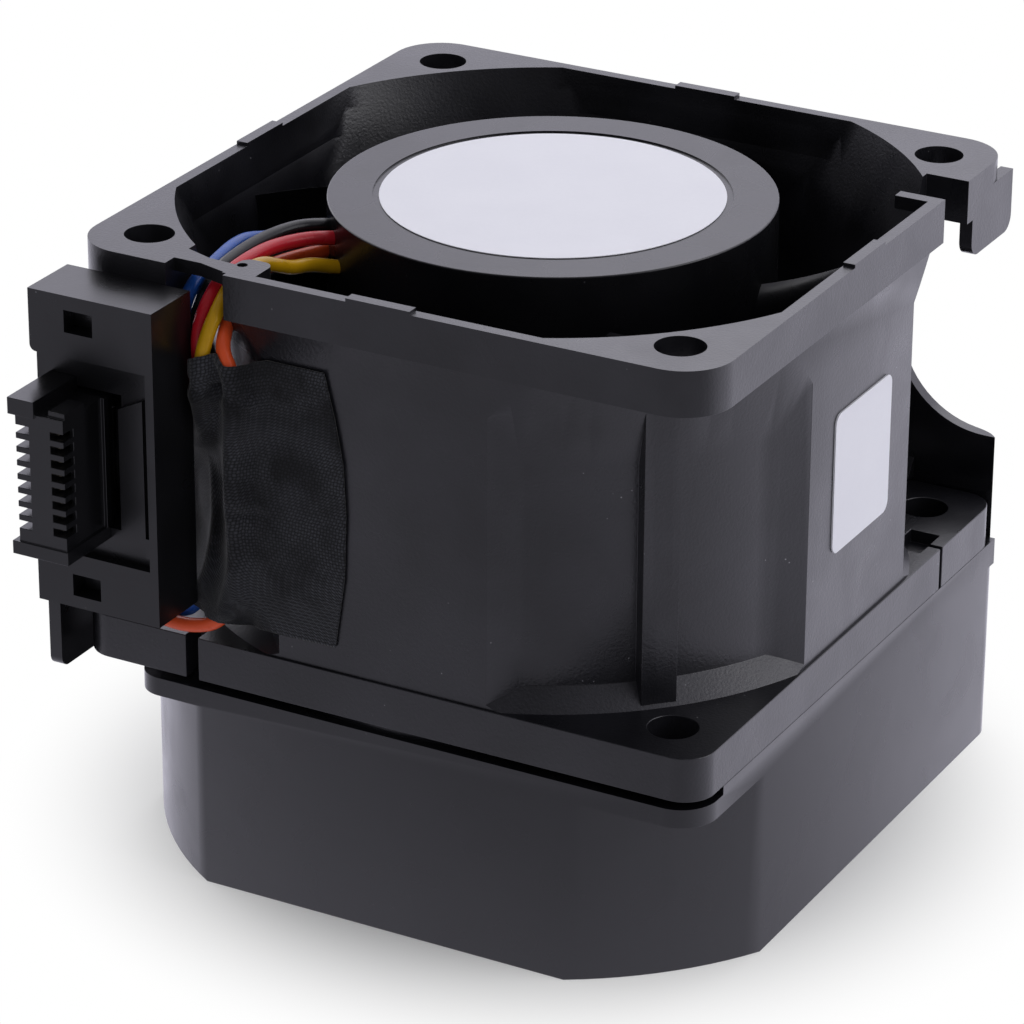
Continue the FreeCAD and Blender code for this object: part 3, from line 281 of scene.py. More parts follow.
def eased(name, source, made, radius_mm, weigh=lambda spot: 1.0, segments=2, block=None,
          move=None):
    """A copy of one CAD node whose sharp edges are rounded, in a given material."""
    mesh = nodes[source].data.copy()
    mesh.name = name
    shape = bmesh.new()
    shape.from_mesh(mesh)
    bmesh.ops.remove_doubles(shape, verts=shape.verts, dist=MERGE)
    bmesh.ops.dissolve_limit(shape, angle_limit=FLAT, verts=shape.verts, edges=shape.edges)
    if move:
        for point in shape.verts:
            move(point.co)
    if block:
        low, high = (Vector(corner) * MM for corner in block)
        place = Matrix.Translation((low + high) / 2) @ Matrix.Diagonal((*(high - low), 1))
        bmesh.ops.create_cube(shape, size=1, matrix=place)
    weights = shape.edges.layers.float.new("bevel_weight_edge")
    for edge in shape.edges:
        if edge.is_manifold and edge.calc_face_angle() > SHARP:
            edge[weights] = weigh((edge.verts[0].co + edge.verts[1].co) / 2)
    shape.to_mesh(mesh)
    shape.free()
    if "custom_normal" in mesh.attributes:
        mesh.attributes.remove(mesh.attributes["custom_normal"])
    mesh.shade_smooth()
    mesh.set_sharp_from_angle(angle=SHARP)
    mesh.materials.clear()
    mesh.materials.append(made)
    piece = linked(name, mesh)
    bevel = piece.modifiers.new("eased_edges", "BEVEL")
    bevel.limit_method = "WEIGHT"
    bevel.width = radius_mm * MM
    bevel.segments = segments
    bevel.harden_normals = True
    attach(piece, "housing" if source != "impeller" else "rotor")
    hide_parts(source)
    return piece


print("seams of the frame at z in mm:", round(OUTLET_SEAM / MM, 1), "and", round(INLET_SEAM / MM, 1))

# %% [markdown]
# Not every edge is rounded alike.  Each function below takes the middle of an edge and gives
# its share of the radius: none at the seams, a little on the vanes, and all of it on the rim
# of the motor base.

# %% How round each edge gets
def at_seam(spot):
    """Whether a spot lies where two solids of the frame meet."""
    return min(abs(spot.z - OUTLET_SEAM), abs(spot.z - INLET_SEAM)) < TOUCH


def off_seams(spot):
    """No rounding where one solid of the moulded frame goes on into the next."""
    inside = math.hypot(spot.x, spot.y) < BORE
    return 0.0 if inside and at_seam(spot) else 1.0


def off_barrel_ends(spot):
    """The barrel's own ends lie wholly against the flanges."""
    return 0.0 if at_seam(spot) else 1.0


HUB_RADIUS, HUB_SLACK = 19.45 * MM, 0.1 * MM
VANE_REACH = 28.0 * MM
HUB_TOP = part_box("outlet_stator")[1].z


def round_hub(spot):
    """The motor base's rim is well rounded, the vanes barely, and their hidden roots not at all."""
    out = math.hypot(spot.x, spot.y)
    if out > VANE_REACH:
        return 0.0
    on_rim = abs(out - HUB_RADIUS) < HUB_SLACK and abs(spot.z - HUB_TOP) < TOUCH
    return 1.0 if on_rim else BARELY


print("rim of the motor base: radius", round(HUB_RADIUS / MM, 2), "mm")

# %% [markdown]
# The well that holds the round label is a shallow one, little deeper than the film in it.  The
# plug gets a tail, which fills the hole in the bracket's back wall where the leads go in.

# %% Ease every plastic part
WELL_FLOOR, WELL_RADIUS, OLD_WELL_RADIUS = HUB_TOP - 0.14 * MM, 15.5 * MM, 16.0 * MM
OLD_WELL_DEPTH, WALL_BAND, DEPTH_SLACK = 0.6 * MM, 0.15 * MM, 0.1 * MM


def shallow_well(point):
    """Lift the floor of the motor base's well and draw its wall in."""
    out = math.hypot(point.x, point.y)
    in_well = out < OLD_WELL_RADIUS + WALL_BAND and point.z > HUB_TOP - OLD_WELL_DEPTH - DEPTH_SLACK
    if in_well and out > OLD_WELL_RADIUS - WALL_BAND:
        point.x *= WELL_RADIUS / out
        point.y *= WELL_RADIUS / out
    if in_well and point.z < HUB_TOP - OLD_WELL_DEPTH + DEPTH_SLACK:
        point.z = WELL_FLOOR


PLUG_TAIL = ((-27.75, -34.2, 34.75), (-24.95, -30.3, 43.95))
flange = eased("flange_outlet", "frame_outlet_flange", frame_plastic, 0.22, off_seams)
eased("barrel", "frame_barrel", frame_plastic, 0.25, off_barrel_ends)
eased("flange_inlet", "frame_inlet_flange", frame_plastic, 0.22, off_seams)
eased("duct", "inlet_duct", duct_plastic, 0.25)
eased("bracket", "connector_bracket", bracket_plastic, 0.16)
eased("plug", "connector_plug", plug_plastic, 0.07, block=PLUG_TAIL)
eased("vanes_and_motor_base", "outlet_stator", blade_plastic, 0.75, round_hub, 3,
      move=shallow_well)
eased("blades", "impeller", blade_plastic, 0.12)
print("faces of the eased flange:", len(flange.data.polygons), "before its bevel")

# %% [markdown]
# ## The leads
#
# Five stranded leads leave the motor base, cross the vanes, squeeze through a gate in the
# flange, dive behind a piece of tape and end in the plug.  Each is a tube of soft PVC that
# can't kink, so its line is a smooth NURBS curve with a few control points.  A bevelled curve
# object would do, but here a small Geometry Nodes tree sweeps a circle along the line: its
# inputs name the lead's diameter and colour, and one tree makes all five.

# %% Routes
TOP_MM = HUB_TOP / MM
LEAD_DIAMETER, LEAD_SIDES, LEAD_STEP = 1.25 * MM, 20, 0.35 * MM
LINE_FINISH = 24
# Control points in millimetres: x, y and the height measured from the outlet face.
LEAD_ROUTES = {
    "blue": [(-15.6, -8.6, -3.6), (-17.5, -8.8, -3.3), (-19.05, -11.1, -3.2), (-19.85, -14.5, -3.0),
             (-20.6, -16.8, -2.4), (-20.0, -20.2, -1.9), (-19.4, -24.4, -2.1),
             (-19.45, -27.2, -2.6), (-19.5, -29.1, -5.0), (-19.75, -27.0, -8.9),
             (-18.7, -25.2, -13.6), (-18.0, -25.6, -18.6), (-17.2, -26.8, -24.2),
             (-17.3, -28.9, -29.2), (-20.2, -28.8, -33.2), (-25.0, -28.4, -29.8),
             (-26.2, -26.8, -25.6), (-25.7, -27.5, -21.9), (-26.2, -34.0, -21.1)],
    "black": [(-14.0, -11.4, -1.8), (-15.6, -13.0, -1.5), (-17.0, -14.6, -1.4), (-17.9, -17.8, -1.4),
              (-18.2, -21.5, -1.5), (-18.15, -26.0, -1.95), (-18.17, -29.15, -5.3),
              (-19.15, -29.15, -9.5), (-22.6, -25.3, -12.4), (-26.2, -28.5, -14.6),
              (-26.4, -34.0, -14.6)],
    "red": [(-13.0, -12.9, -2.2), (-14.3, -14.2, -2.0), (-15.5, -15.5, -1.9), (-16.5, -17.6, -1.8),
            (-16.85, -20.2, -1.6), (-16.9, -23.8, -1.6), (-16.9, -27.6, -2.0), (-17.25, -30.3, -5.4),
            (-17.2, -29.5, -10.2), (-18.6, -27.5, -13.6), (-22.4, -25.2, -15.2),
            (-26.2, -28.4, -16.2), (-26.4, -34.0, -16.2)],
    "orange": [(-15.3, -11.4, -4.2), (-17.2, -14.0, -4.3), (-18.2, -18.6, -4.1), (-17.6, -23.0, -3.9),
               (-16.2, -26.0, -3.9), (-15.3, -28.7, -5.1), (-14.5, -30.7, -6.5),
               (-13.6, -30.7, -8.0), (-13.3, -30.6, -11.6), (-13.9, -30.2, -17.0),
               (-13.6, -30.1, -27.2), (-15.0, -30.3, -31.6), (-18.8, -30.3, -33.0),
               (-23.4, -29.9, -32.6), (-27.2, -28.7, -29.8), (-27.8, -27.6, -25.0),
               (-27.0, -28.4, -20.2), (-26.4, -34.0, -19.4)],
    "yellow": [(-12.1, -13.7, -4.5), (-13.0, -14.8, -4.2), (-14.3, -16.8, -3.5), (-14.7, -19.0, -3.2),
               (-15.0, -20.8, -2.4), (-15.4, -22.8, -1.5), (-15.6, -25.6, -1.6),
               (-15.6, -27.7, -2.0), (-16.0, -31.3, -5.9), (-16.6, -31.0, -10.4),
               (-17.0, -28.6, -15.8), (-21.6, -25.3, -17.4), (-26.2, -28.4, -17.8),
               (-26.4, -34.0, -17.8)],
}


def spline_line(name, points):
    """A NURBS curve through the control points' pull, as a line of plain mesh points."""
    curve = bpy.data.curves.new(name, "CURVE")
    curve.dimensions = "3D"
    spline = curve.splines.new("NURBS")
    spline.points.add(len(points) - 1)
    for point, (x, y, drop) in zip(spline.points, points):
        point.co = (x * MM, y * MM, (TOP_MM + drop) * MM, 1)
    spline.order_u = 3
    spline.use_endpoint_u = True
    spline.resolution_u = LINE_FINISH
    holder = linked(name, curve)
    line = bpy.data.meshes.new_from_object(holder.evaluated_get(bpy.context.evaluated_depsgraph_get()))
    bpy.data.objects.remove(holder)
    return line


lead_lines = {colour: spline_line("line_" + colour, route) for colour, route in LEAD_ROUTES.items()}
for colour, line in lead_lines.items():
    run = [v.co for v in line.vertices]
    print(f"{colour} lead: {sum((b - a).length for a, b in zip(run, run[1:])) / MM:.1f} mm")

# %% [markdown]
# ## PVC insulation
#
# Soft PVC is squeezed on to the strands through a warm die.  It has a bright gloss broken by
# faint lengthwise die lines and by the handling of the loom, and the pigment is even, so only
# a slight cloudiness moves in the colour.

# %% Insulation
def extruded_PVC(name, colour, shade):
    """Glossy soft PVC with a little cloudiness, fine orange peel and rubbed patches."""
    made, tree, shader, place = material(name)
    cloud = noise(tree, place, 3.5, 3.0)
    peel = noise(tree, place, 0.35, 2.0)
    base = blend(tree, cloud, shade, colour)
    rough = ranged(tree, cloud, 0.35, 0.65, 0.24, 0.38)
    wire_up(tree, shader, base, rough, bumped(tree, peel, 0.35, 0.02))
    shader.inputs["IOR"].default_value = 1.53
    shader.inputs["Specular IOR Level"].default_value = 0.22
    return made


INSULATION = {
    "blue": extruded_PVC("blue_PVC", "2257b2", "183c80"),
    "black": extruded_PVC("black_PVC", "131316", "0b0b0d"),
    "red": extruded_PVC("red_PVC", "c41f2e", "8f1420"),
    "orange": extruded_PVC("orange_PVC", "e0592f", "c24421"),
    "yellow": extruded_PVC("yellow_PVC", "cf9f14", "96700a"),
}
print("insulation colours:", ", ".join(INSULATION))

# %% [markdown]
# The tree takes a line of mesh points, turns it to a curve, takes even steps along it and
# sweeps a circle over them.  It sets the material as well, so each lead comes out dressed.  The
# two functions below serve the motor's coils too.

# %% The tree that sweeps a lead
def new_tree(name, sockets):
    """An empty Geometry Nodes tree with named inputs, and its first and last nodes."""
    tree = bpy.data.node_groups.new(name, "GeometryNodeTree")
    tree.interface.new_socket("Geometry", in_out="INPUT", socket_type="NodeSocketGeometry")
    for label, kind, value in sockets:
        made = tree.interface.new_socket(label, in_out="INPUT", socket_type=kind)
        if value is not None:
            made.default_value = value
    tree.interface.new_socket("Geometry", in_out="OUTPUT", socket_type="NodeSocketGeometry")
    return tree, tree.nodes.new("NodeGroupInput"), tree.nodes.new("NodeGroupOutput")


def grown(name, mesh, tree, settings):
    """Run a tree on a mesh with its inputs set, and keep the result as a plain mesh object."""
    seed = linked(name + "_seed", mesh)
    modifier = seed.modifiers.new("grow", "NODES")
    modifier.node_group = tree
    sockets = {s.name: s.identifier for s in tree.interface.items_tree if s.in_out == "INPUT"}
    for label, value in settings.items():
        modifier[sockets[label]] = value
    result = bpy.data.meshes.new_from_object(seed.evaluated_get(bpy.context.evaluated_depsgraph_get()))
    result.name = name
    bpy.data.objects.remove(seed)
    return linked(name, result)


sweep, given, out = new_tree("sweep_a_lead", [
    ("Diameter", "NodeSocketFloat", LEAD_DIAMETER), ("Sides", "NodeSocketInt", LEAD_SIDES),
    ("Step", "NodeSocketFloat", LEAD_STEP), ("Sheath", "NodeSocketMaterial", None)])
line = add(sweep, "GeometryNodeMeshToCurve", {"Mesh": given.outputs["Geometry"]})
even = add(sweep, "GeometryNodeResampleCurve", {"Curve": line.outputs[0], "Length": given.outputs["Step"]},
           mode="LENGTH")
radius = reckon(sweep, "MULTIPLY", given.outputs["Diameter"], 0.5)
rim = add(sweep, "GeometryNodeCurvePrimitiveCircle", {"Resolution": given.outputs["Sides"],
                                                      "Radius": radius})
tube = add(sweep, "GeometryNodeCurveToMesh", {"Curve": even.outputs[0], "Profile Curve": rim.outputs[0],
                                              "Fill Caps": True})
real = add(sweep, "GeometryNodeRealizeInstances", {0: tube.outputs[0]})
dressed = add(sweep, "GeometryNodeSetMaterial", {"Geometry": real.outputs[0],
                                                 "Material": given.outputs["Sheath"]})
sweep.links.new(dressed.outputs[0], out.inputs[0])
print("nodes in the tree that sweeps a lead:", len(sweep.nodes))

# %% Sweep the five leads
for colour, line in lead_lines.items():
    lead = grown("lead_" + colour, line, sweep, {"Diameter": LEAD_DIAMETER, "Sides": LEAD_SIDES,
                                                 "Step": LEAD_STEP, "Sheath": INSULATION[colour]})
    for face in lead.data.polygons:
        face.use_smooth = len(face.vertices) == 4
    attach(lead, "housing")
    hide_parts("wire_" + colour)
    print(lead.name, len(lead.data.polygons), "faces")

# %% [markdown]
# ## The cloth tape
#
# A short strip of black cloth tape holds the leads against the barrel.  Its left end is tucked
# behind the bracket.  From there it was laid over the leads and pressed down on the flat of the
# barrel, so it bridges the leads like a tent, clings to the wall beyond them, and has a few
# pressed creases.  Cloth simulation would find that shape too, but a film between fixed heights
# is a sum that settles by itself: each point takes the mean of its neighbours, less a little
# pull towards the wall, and never sinks below the lead or the wall under it.

# %% The ground under the tape
TAPE_COLUMNS, TAPE_ROWS = 140, 160
TAPE_THICKNESS = 0.2
WALL_MM = -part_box("frame_barrel")[0].y / MM
# The outline in millimetres, x and the height below the outlet face, one list for each side.
TAPE_LEFT = [(-17.55, -7.7), (-17.55, -11.6), (-19.4, -13.2), (-22.6, -15.6), (-23.6, -19.0),
             (-23.6, -26.0), (-22.0, -29.6), (-17.4, -31.5)]
TAPE_RIGHT = [(-5.15, -6.8), (-4.2, -10.6), (-3.42, -14.7), (-3.2, -19.4), (-3.42, -25.3), (-4.36, -31.6)]
TAPE_TOP = [(-17.55, -7.7), (-16.2, -6.9), (-14.6, -6.5), (-13.9, -7.4), (-12.6, -7.5), (-10.7, -6.8),
            (-5.15, -6.8)]
TAPE_BOTTOM = [(-17.4, -31.5), (-15.4, -31.3), (-13.6, -31.6), (-9.4, -31.7), (-4.36, -31.6)]


def along(side, shares):
    """Points at these shares of the way along one side of the outline."""
    side = np.array(side)
    way = np.concatenate([[0], np.cumsum(np.linalg.norm(np.diff(side, axis=0), axis=1))])
    return np.stack([np.interp(shares * way[-1], way, side[:, axis]) for axis in (0, 1)], axis=-1)


across = np.linspace(0, 1, TAPE_COLUMNS)
down = np.linspace(0, 1, TAPE_ROWS)
u, v = across[None, :, None], down[:, None, None]
left, right_side = along(TAPE_LEFT, down)[:, None], along(TAPE_RIGHT, down)[:, None]
top, bottom = along(TAPE_TOP, across)[None], along(TAPE_BOTTOM, across)[None]
corner_part = ((1 - u) * (1 - v) * top[:, :1] + u * (1 - v) * top[:, -1:]
               + (1 - u) * v * bottom[:, :1] + u * v * bottom[:, -1:])
tape_place = (1 - u) * left + u * right_side + (1 - v) * top + v * bottom - corner_part
tape_x, tape_drop = tape_place[..., 0], tape_place[..., 1]
# The wall is flat in the middle and falls away as a cylinder towards the bracket.
FRAME_HALF, WALL_GAP, ARC_LIFT, LEAD_GAP = 30.0, 0.08, 2.2, 0.12
ground = np.minimum(WALL_MM + WALL_GAP, np.sqrt(FRAME_HALF ** 2 - tape_x ** 2) + ARC_LIFT)
HOLD = LEAD_DIAMETER / MM / 2 + LEAD_GAP
for line in lead_lines.values():
    for point in line.vertices:
        x, y, z = point.co / MM
        away = (tape_x - x) ** 2 + (tape_drop - (z - TOP_MM)) ** 2
        near = away < HOLD * HOLD
        ground[near] = np.maximum(ground[near], -y + np.sqrt(HOLD * HOLD - away[near]))
print("ground under the tape, mm:", ground.min().round(2), "to", ground.max().round(2))

# %% Let the film settle and press its creases in
SETTLE_STEPS, PULL = 2600, 0.0045
# Left of the bracket's side the tape has to pass behind the bracket.
BRACKET_SIDE, BRACKET_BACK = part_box("connector_bracket")[1].x / MM, 30.0
BACK_GAP, SIDE_GAP, RISE_WIDTH, NO_CEILING = 0.5, 0.2, 0.08, 20
ceiling = BRACKET_BACK - BACK_GAP + np.clip((tape_x - BRACKET_SIDE - SIDE_GAP) / RISE_WIDTH, 0, NO_CEILING)
film = np.full(ground.shape, ground.max())
for _ in range(SETTLE_STEPS):
    rim_added = np.pad(film, 1, mode="edge")
    mean = (rim_added[:-2, 1:-1] + rim_added[2:, 1:-1]
            + rim_added[1:-1, :-2] + rim_added[1:-1, 2:]) / 4
    film = np.minimum(np.maximum(ground, mean - PULL), ceiling)

# Creases: the two ends, how deep they are pressed (or raised, below zero) and how wide.
CREASES = [
    ((-17.6, -9.7), (-14.1, -9.5), 0.42, 0.42), ((-17.5, -10.9), (-14.6, -10.9), -0.22, 0.6),
    ((-14.1, -9.5), (-12.9, -10.4), 0.25, 0.4), ((-13.1, -21.1), (-10.7, -20.9), 0.36, 0.42),
    ((-13.6, -19.7), (-10.9, -19.9), -0.16, 0.55), ((-12.75, -8.0), (-11.75, -16.0), 0.20, 0.35),
    ((-11.75, -16.0), (-12.0, -20.6), 0.12, 0.4), ((-16.6, -13.5), (-15.6, -18.5), -0.18, 0.7),
    ((-15.8, -22.5), (-14.9, -30.2), -0.16, 0.6), ((-14.4, -24.0), (-13.4, -31.0), 0.14, 0.5),
    ((-12.3, -23.5), (-11.9, -30.8), -0.10, 0.5), ((-16.9, -19.5), (-14.6, -22.2), 0.20, 0.45),
]


def from_segment(start, end):
    """The distance of each point of the tape from a segment, in millimetres."""
    start, end = np.array(start), np.array(end)
    way = end - start
    spot = np.stack([tape_x, tape_drop], axis=-1) - start
    share = np.clip(spot @ way / (way @ way), 0, 1)
    return np.linalg.norm(spot - share[..., None] * way, axis=-1)


# Tape that lies on the wall takes only a share of a crease, and tape that stands off it all.
LIES_BELOW, FREE_SPAN, HELD_SHARE = 0.12, 0.5, 0.25
free = np.clip((film - WALL_MM - LIES_BELOW) / FREE_SPAN, 0, 1)
for start, end, depth, width in CREASES:
    film -= (depth * (HELD_SHARE + (1 - HELD_SHARE) * free)
             * np.exp(-(from_segment(start, end) / width) ** 2))
# A second layer of tape ends in a faint step, right of the leads.
STEP_X, STEP_TOP, STEP_LOW, STEP_RISE = -10.0, -10.6, -22.9, 0.13
SIDE_SOFT, END_SOFT, PRESSED_IN = 0.12, 0.3, 0.05
lap = 1 / (1 + np.exp((tape_x - STEP_X) / SIDE_SOFT))
lap *= (1 / (1 + np.exp((STEP_LOW - tape_drop) / END_SOFT))
        / (1 + np.exp((tape_drop - STEP_TOP) / END_SOFT)))
film += STEP_RISE * lap
film = np.minimum(np.maximum(film, ground - PRESSED_IN), ceiling)
print("tape stands", (film.max() - WALL_MM).round(2), "mm off the wall at most")

# %% [markdown]
# The tape is a plain weave of matt cotton threads, soaked in black.  Each thread runs over one
# and under the next, so the light and a painted highlight, a lighter colour on the raised
# crowns, pick out a fine check of dots.  The pattern has to follow the cloth round its folds,
# and reads a UV map whose unit is one millimetre of tape.

# %% Cloth tape material
THREAD_MM = 0.30
# How far a thread strays from its line, and how much higher the thread on top stands.
STRAY_MM, OVER_RISE = 0.10, 0.35


def woven_tape(name, colour, painted_highlight_colour):
    """Plain-woven black cloth tape, its threads drawn from a UV map in millimetres."""
    made, tree, shader, place = material(name)
    flat = add(tree, "ShaderNodeUVMap", uv_map="cloth").outputs[0]
    stray = add(tree, "ShaderNodeTexNoise", {"Vector": place, "Scale": per(1.6), "Detail": 2.0})
    shift = add(tree, "ShaderNodeVectorMath", {0: stray.outputs["Color"], 1: (STRAY_MM, STRAY_MM, 0)},
                operation="MULTIPLY")
    cloth = add(tree, "ShaderNodeVectorMath", {0: flat, 1: shift.outputs[0]}, operation="ADD").outputs[0]
    split = add(tree, "ShaderNodeSeparateXYZ", {0: cloth})
    waves = [reckon(tree, "ABSOLUTE", reckon(tree, "SINE", reckon(tree, "MULTIPLY", split.outputs[axis],
                                                                  math.pi / THREAD_MM)))
             for axis in (0, 1)]
    over = add(tree, "ShaderNodeTexChecker", {"Vector": cloth, "Scale": 1 / THREAD_MM}).outputs["Fac"]
    rise = reckon(tree, "MULTIPLY", over, OVER_RISE)
    height = reckon(tree, "ADD", reckon(tree, "MULTIPLY", *waves), rise)
    show = ranged(tree, noise(tree, place, 4.5, 3.0), 0.38, 0.62, 0.25, 1.0)
    thread = reckon(tree, "MULTIPLY", height, show)
    # The raised thread crowns take the lighter colour: a painted highlight over the real bump.
    wire_up(tree, shader, blend(tree, thread, colour, painted_highlight_colour), bump=bumped(tree, thread, 0.7, 0.08))
    shader.inputs["Roughness"].default_value = 0.72
    shader.inputs["Specular IOR Level"].default_value = 0.12
    shader.inputs["Sheen Weight"].default_value = 0.12
    shader.inputs["Sheen Roughness"].default_value = 0.5
    return made


# The second colour is the painted highlight on the thread crowns.
woven_cotton = woven_tape("woven_black_cotton_tape", "08080a", "3a3b42")
print("threads in a centimetre of tape:", round(10 / THREAD_MM))

# %% [markdown]
# The settled film becomes a grid of quads, thickened outwards by the tape's own thickness.  The
# UV map is the length walked along the grid, over the folds, so the weave keeps its size there.

# %% The tape as one sheet
corners = [(tape_x[row, col] * MM, -film[row, col] * MM, (TOP_MM + tape_drop[row, col]) * MM)
           for row in range(TAPE_ROWS) for col in range(TAPE_COLUMNS)]
quads = [(row * TAPE_COLUMNS + col, (row + 1) * TAPE_COLUMNS + col,
          (row + 1) * TAPE_COLUMNS + col + 1, row * TAPE_COLUMNS + col + 1)
         for row in range(TAPE_ROWS - 1) for col in range(TAPE_COLUMNS - 1)]
tape_mesh = bpy.data.meshes.new("cloth_tape")
tape_mesh.from_pydata(corners, [], quads)
tape_mesh.materials.append(woven_cotton)
rise_u = np.diff(film, axis=1, prepend=film[:, :1])
step_u = np.diff(tape_x, axis=1, prepend=tape_x[:, :1])
cloth_u = np.cumsum(np.hypot(rise_u, step_u), axis=1)
rise_v = np.diff(film, axis=0, prepend=film[:1])
step_v = np.diff(tape_drop, axis=0, prepend=tape_drop[:1])
cloth_v = np.cumsum(np.hypot(rise_v, step_v), axis=0)
cloth_map = tape_mesh.uv_layers.new(name="cloth")
for loop in tape_mesh.loops:
    row, col = divmod(loop.vertex_index, TAPE_COLUMNS)
    cloth_map.data[loop.index].uv = (cloth_u[row, col], cloth_v[row, col])
tape_mesh.shade_smooth()
tape = linked("cloth_tape", tape_mesh)
thicken = tape.modifiers.new("thickness", "SOLIDIFY")
thicken.thickness = TAPE_THICKNESS * MM
thicken.offset = 1.0
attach(tape, "housing")
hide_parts("wire_tape")

# %% [markdown]
# ## Label film
#
# Both labels are polyester film with a satin face: one round, in the well of the motor base,
# and one on the side.  They are left bare.  Up close such film has a faint orange peel, the
# glue's ripples under it and a little dust, and it is never quite white.

# %% Labels
def label_film(name, colour, tint):
    """Satin polyester film: near white, with glue ripples and an orange peel."""
    made, tree, shader, place = material(name)
    ripple = noise(tree, place, 7, 2.0)
    peel = noise(tree, place, 0.5, 2.0)
    base = blend(tree, ripple, tint, colour)
    rough = ranged(tree, peel, 0.3, 0.7, 0.36, 0.46)
    low = bumped(tree, ripple, 0.5, 0.05)
    wire_up(tree, shader, base, rough, bumped(tree, peel, 0.2, 0.01, low))
    shader.inputs["IOR"].default_value = 1.57
    return made


satin_film = label_film("satin_polyester_film", "dfdfe9", "d6d6e1")
wear("side_label", satin_film)

# The round label lies in the shallow well, so it is cut afresh: a thin disc with an eased rim.
LABEL_RADIUS, LABEL_THICKNESS, LABEL_SIDES = 14.95 * MM, 0.09 * MM, 160
GLUE_GAP, RIM_SHARE, LEVEL = 0.01 * MM, 0.4, 1e-7
disc = bmesh.new()
bmesh.ops.create_cone(disc, cap_ends=True, segments=LABEL_SIDES, radius1=LABEL_RADIUS, radius2=LABEL_RADIUS,
                      depth=LABEL_THICKNESS,
                      matrix=Matrix.Translation((0, 0, WELL_FLOOR + LABEL_THICKNESS / 2 + GLUE_GAP)))
rims = [e for e in disc.edges if abs(e.verts[0].co.z - e.verts[1].co.z) < LEVEL]
bmesh.ops.bevel(disc, geom=rims, offset=LABEL_THICKNESS * RIM_SHARE, segments=2, affect="EDGES",
                profile=0.5)
round_mesh = bpy.data.meshes.new("round_label")
disc.to_mesh(round_mesh)
disc.free()
round_mesh.materials.append(satin_film)
round_label = linked("round_label", round_mesh)
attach(round_label, "housing")
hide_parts("hub_label")
print("labels: side_label and", round_label.name)

# %% [markdown]
# ## Metals and the motor's insides
#
# Under the motor base and inside the hub sit parts that only show when the fan is opened: a
# stack of silicon steel sheets with copper windings, a ring magnet in a drawn steel cup, a
# shaft in two bearings, and a small circuit board.  One recipe serves the bare metals, because
# they differ in colour, polish and in the direction of the marks that their making left:
# turned and stacked metal is striped along the axis, and plated steel is mottled.

# %% Bare metals
def bare_metal(name, colour, dull_colour, roughness, mark_mm, stretch, depth):
    """Metal whose marks are noise, stretched along the way that it was worked."""
    made, tree, shader, place = material(name)
    drawn = add(tree, "ShaderNodeMapping", {"Vector": place, "Scale": stretch})
    marks = noise(tree, drawn.outputs[0], mark_mm, 4.0)
    base = blend(tree, noise(tree, place, 5, 4.0), dull_colour, colour)
    rough = ranged(tree, marks, 0.3, 0.7, roughness - 0.05, roughness + 0.1)
    wire_up(tree, shader, base, rough, bumped(tree, marks, 0.5, depth))
    shader.inputs["Metallic"].default_value = 1.0
    return made


RINGS, EVEN = (0.05, 0.05, 1), (1, 1, 1)
METALS = {
    "turned_brass": (("bearing_tube", "shaft_bush"), ("d8b468", "b8924a", 0.24, 0.12, RINGS, 0.01)),
    "ground_bearing_steel": (("bearing_outer_races", "bearing_inner_races", "bearing_balls", "shaft"),
                             ("d6d8dc", "c2c4c9", 0.16, 0.10, RINGS, 0.004)),
    "oiled_spring_steel": (("retaining_clip", "preload_spring"),
                           ("8d8f95", "6b6d74", 0.30, 0.2, EVEN, 0.01)),
    "zinc_plated_drawn_steel": (("rotor_yoke",), ("c6c8c4", "a5a8a2", 0.34, 0.35, (1, 1, 0.15), 0.02)),
    "stacked_silicon_steel": (("stator_core",), ("a3a6ab", "5f6268", 0.42, 0.5, (0.02, 0.02, 1), 0.05)),
    "tinned_bronze": (("connector_contacts",), ("dcd8cc", "c9b98e", 0.20, 0.25, EVEN, 0.008)),
}
for name, (places, recipe) in METALS.items():
    made = bare_metal(name, *recipe)
    for place in places:
        wear(place, made)
print("metals:", ", ".join(METALS))

# %% [markdown]
# The rest of the motor is not metal to the eye.  The magnet is pressed and fired ferrite, the
# end caps of the core are glass-filled nylon in its natural colour, the board is green solder
# mask over glass cloth, and the parts on it are moulded epoxy.  They share a recipe of grains:
# what changes is the colour and size of the grain, its depth, and the gloss.

# %% Grainy materials
def grainy(name, colour, grain_colour, roughness, grain_mm, depth, ior):
    """A dielectric made of small grains: fired, pressed or filled."""
    made, tree, shader, place = material(name)
    grains = cells(tree, place, grain_mm)
    cloud = noise(tree, place, grain_mm * 8, 5.0)
    share = reckon(tree, "MULTIPLY", grains, cloud, use_clamp=True)
    rough = ranged(tree, cloud, 0.3, 0.7, roughness - 0.06, roughness + 0.08)
    wire_up(tree, shader, blend(tree, share, colour, grain_colour), rough,
            bumped(tree, grains, 0.5, depth))
    shader.inputs["IOR"].default_value = ior
    return made


GRAINY = {
    "fired_ferrite": ("magnet_ring", ("2b2b2e", "3c3c40", 0.66, 0.15, 0.02, 1.6)),
    "natural_glass_filled_nylon": ("winding_insulators", ("e6e0cf", "d2cab4", 0.44, 0.3, 0.015, 1.53)),
    "green_solder_mask": ("circuit_board", ("1d5c38", "2c7a4b", 0.28, 0.45, 0.02, 1.55)),
    "moulded_black_epoxy": ("board_components", ("1f1f22", "34343a", 0.55, 0.12, 0.01, 1.55)),
}
for name, (place, recipe) in GRAINY.items():
    wear(place, grainy(name, *recipe))
print("grainy materials:", ", ".join(GRAINY))

# %% [markdown]
# ## The windings
#
# Each of the six teeth carries a coil of enamelled copper, wound in layers.  The solid behind
# it is a plain block, good enough for mass and clearance.  Winding the wire by hand would take
# a long spiral; closed turns set side by side look the same and are simpler.  A Geometry Nodes
# tree draws one rounded turn per layer, repeats it along the tooth, and repeats the tooth
# round the axis.

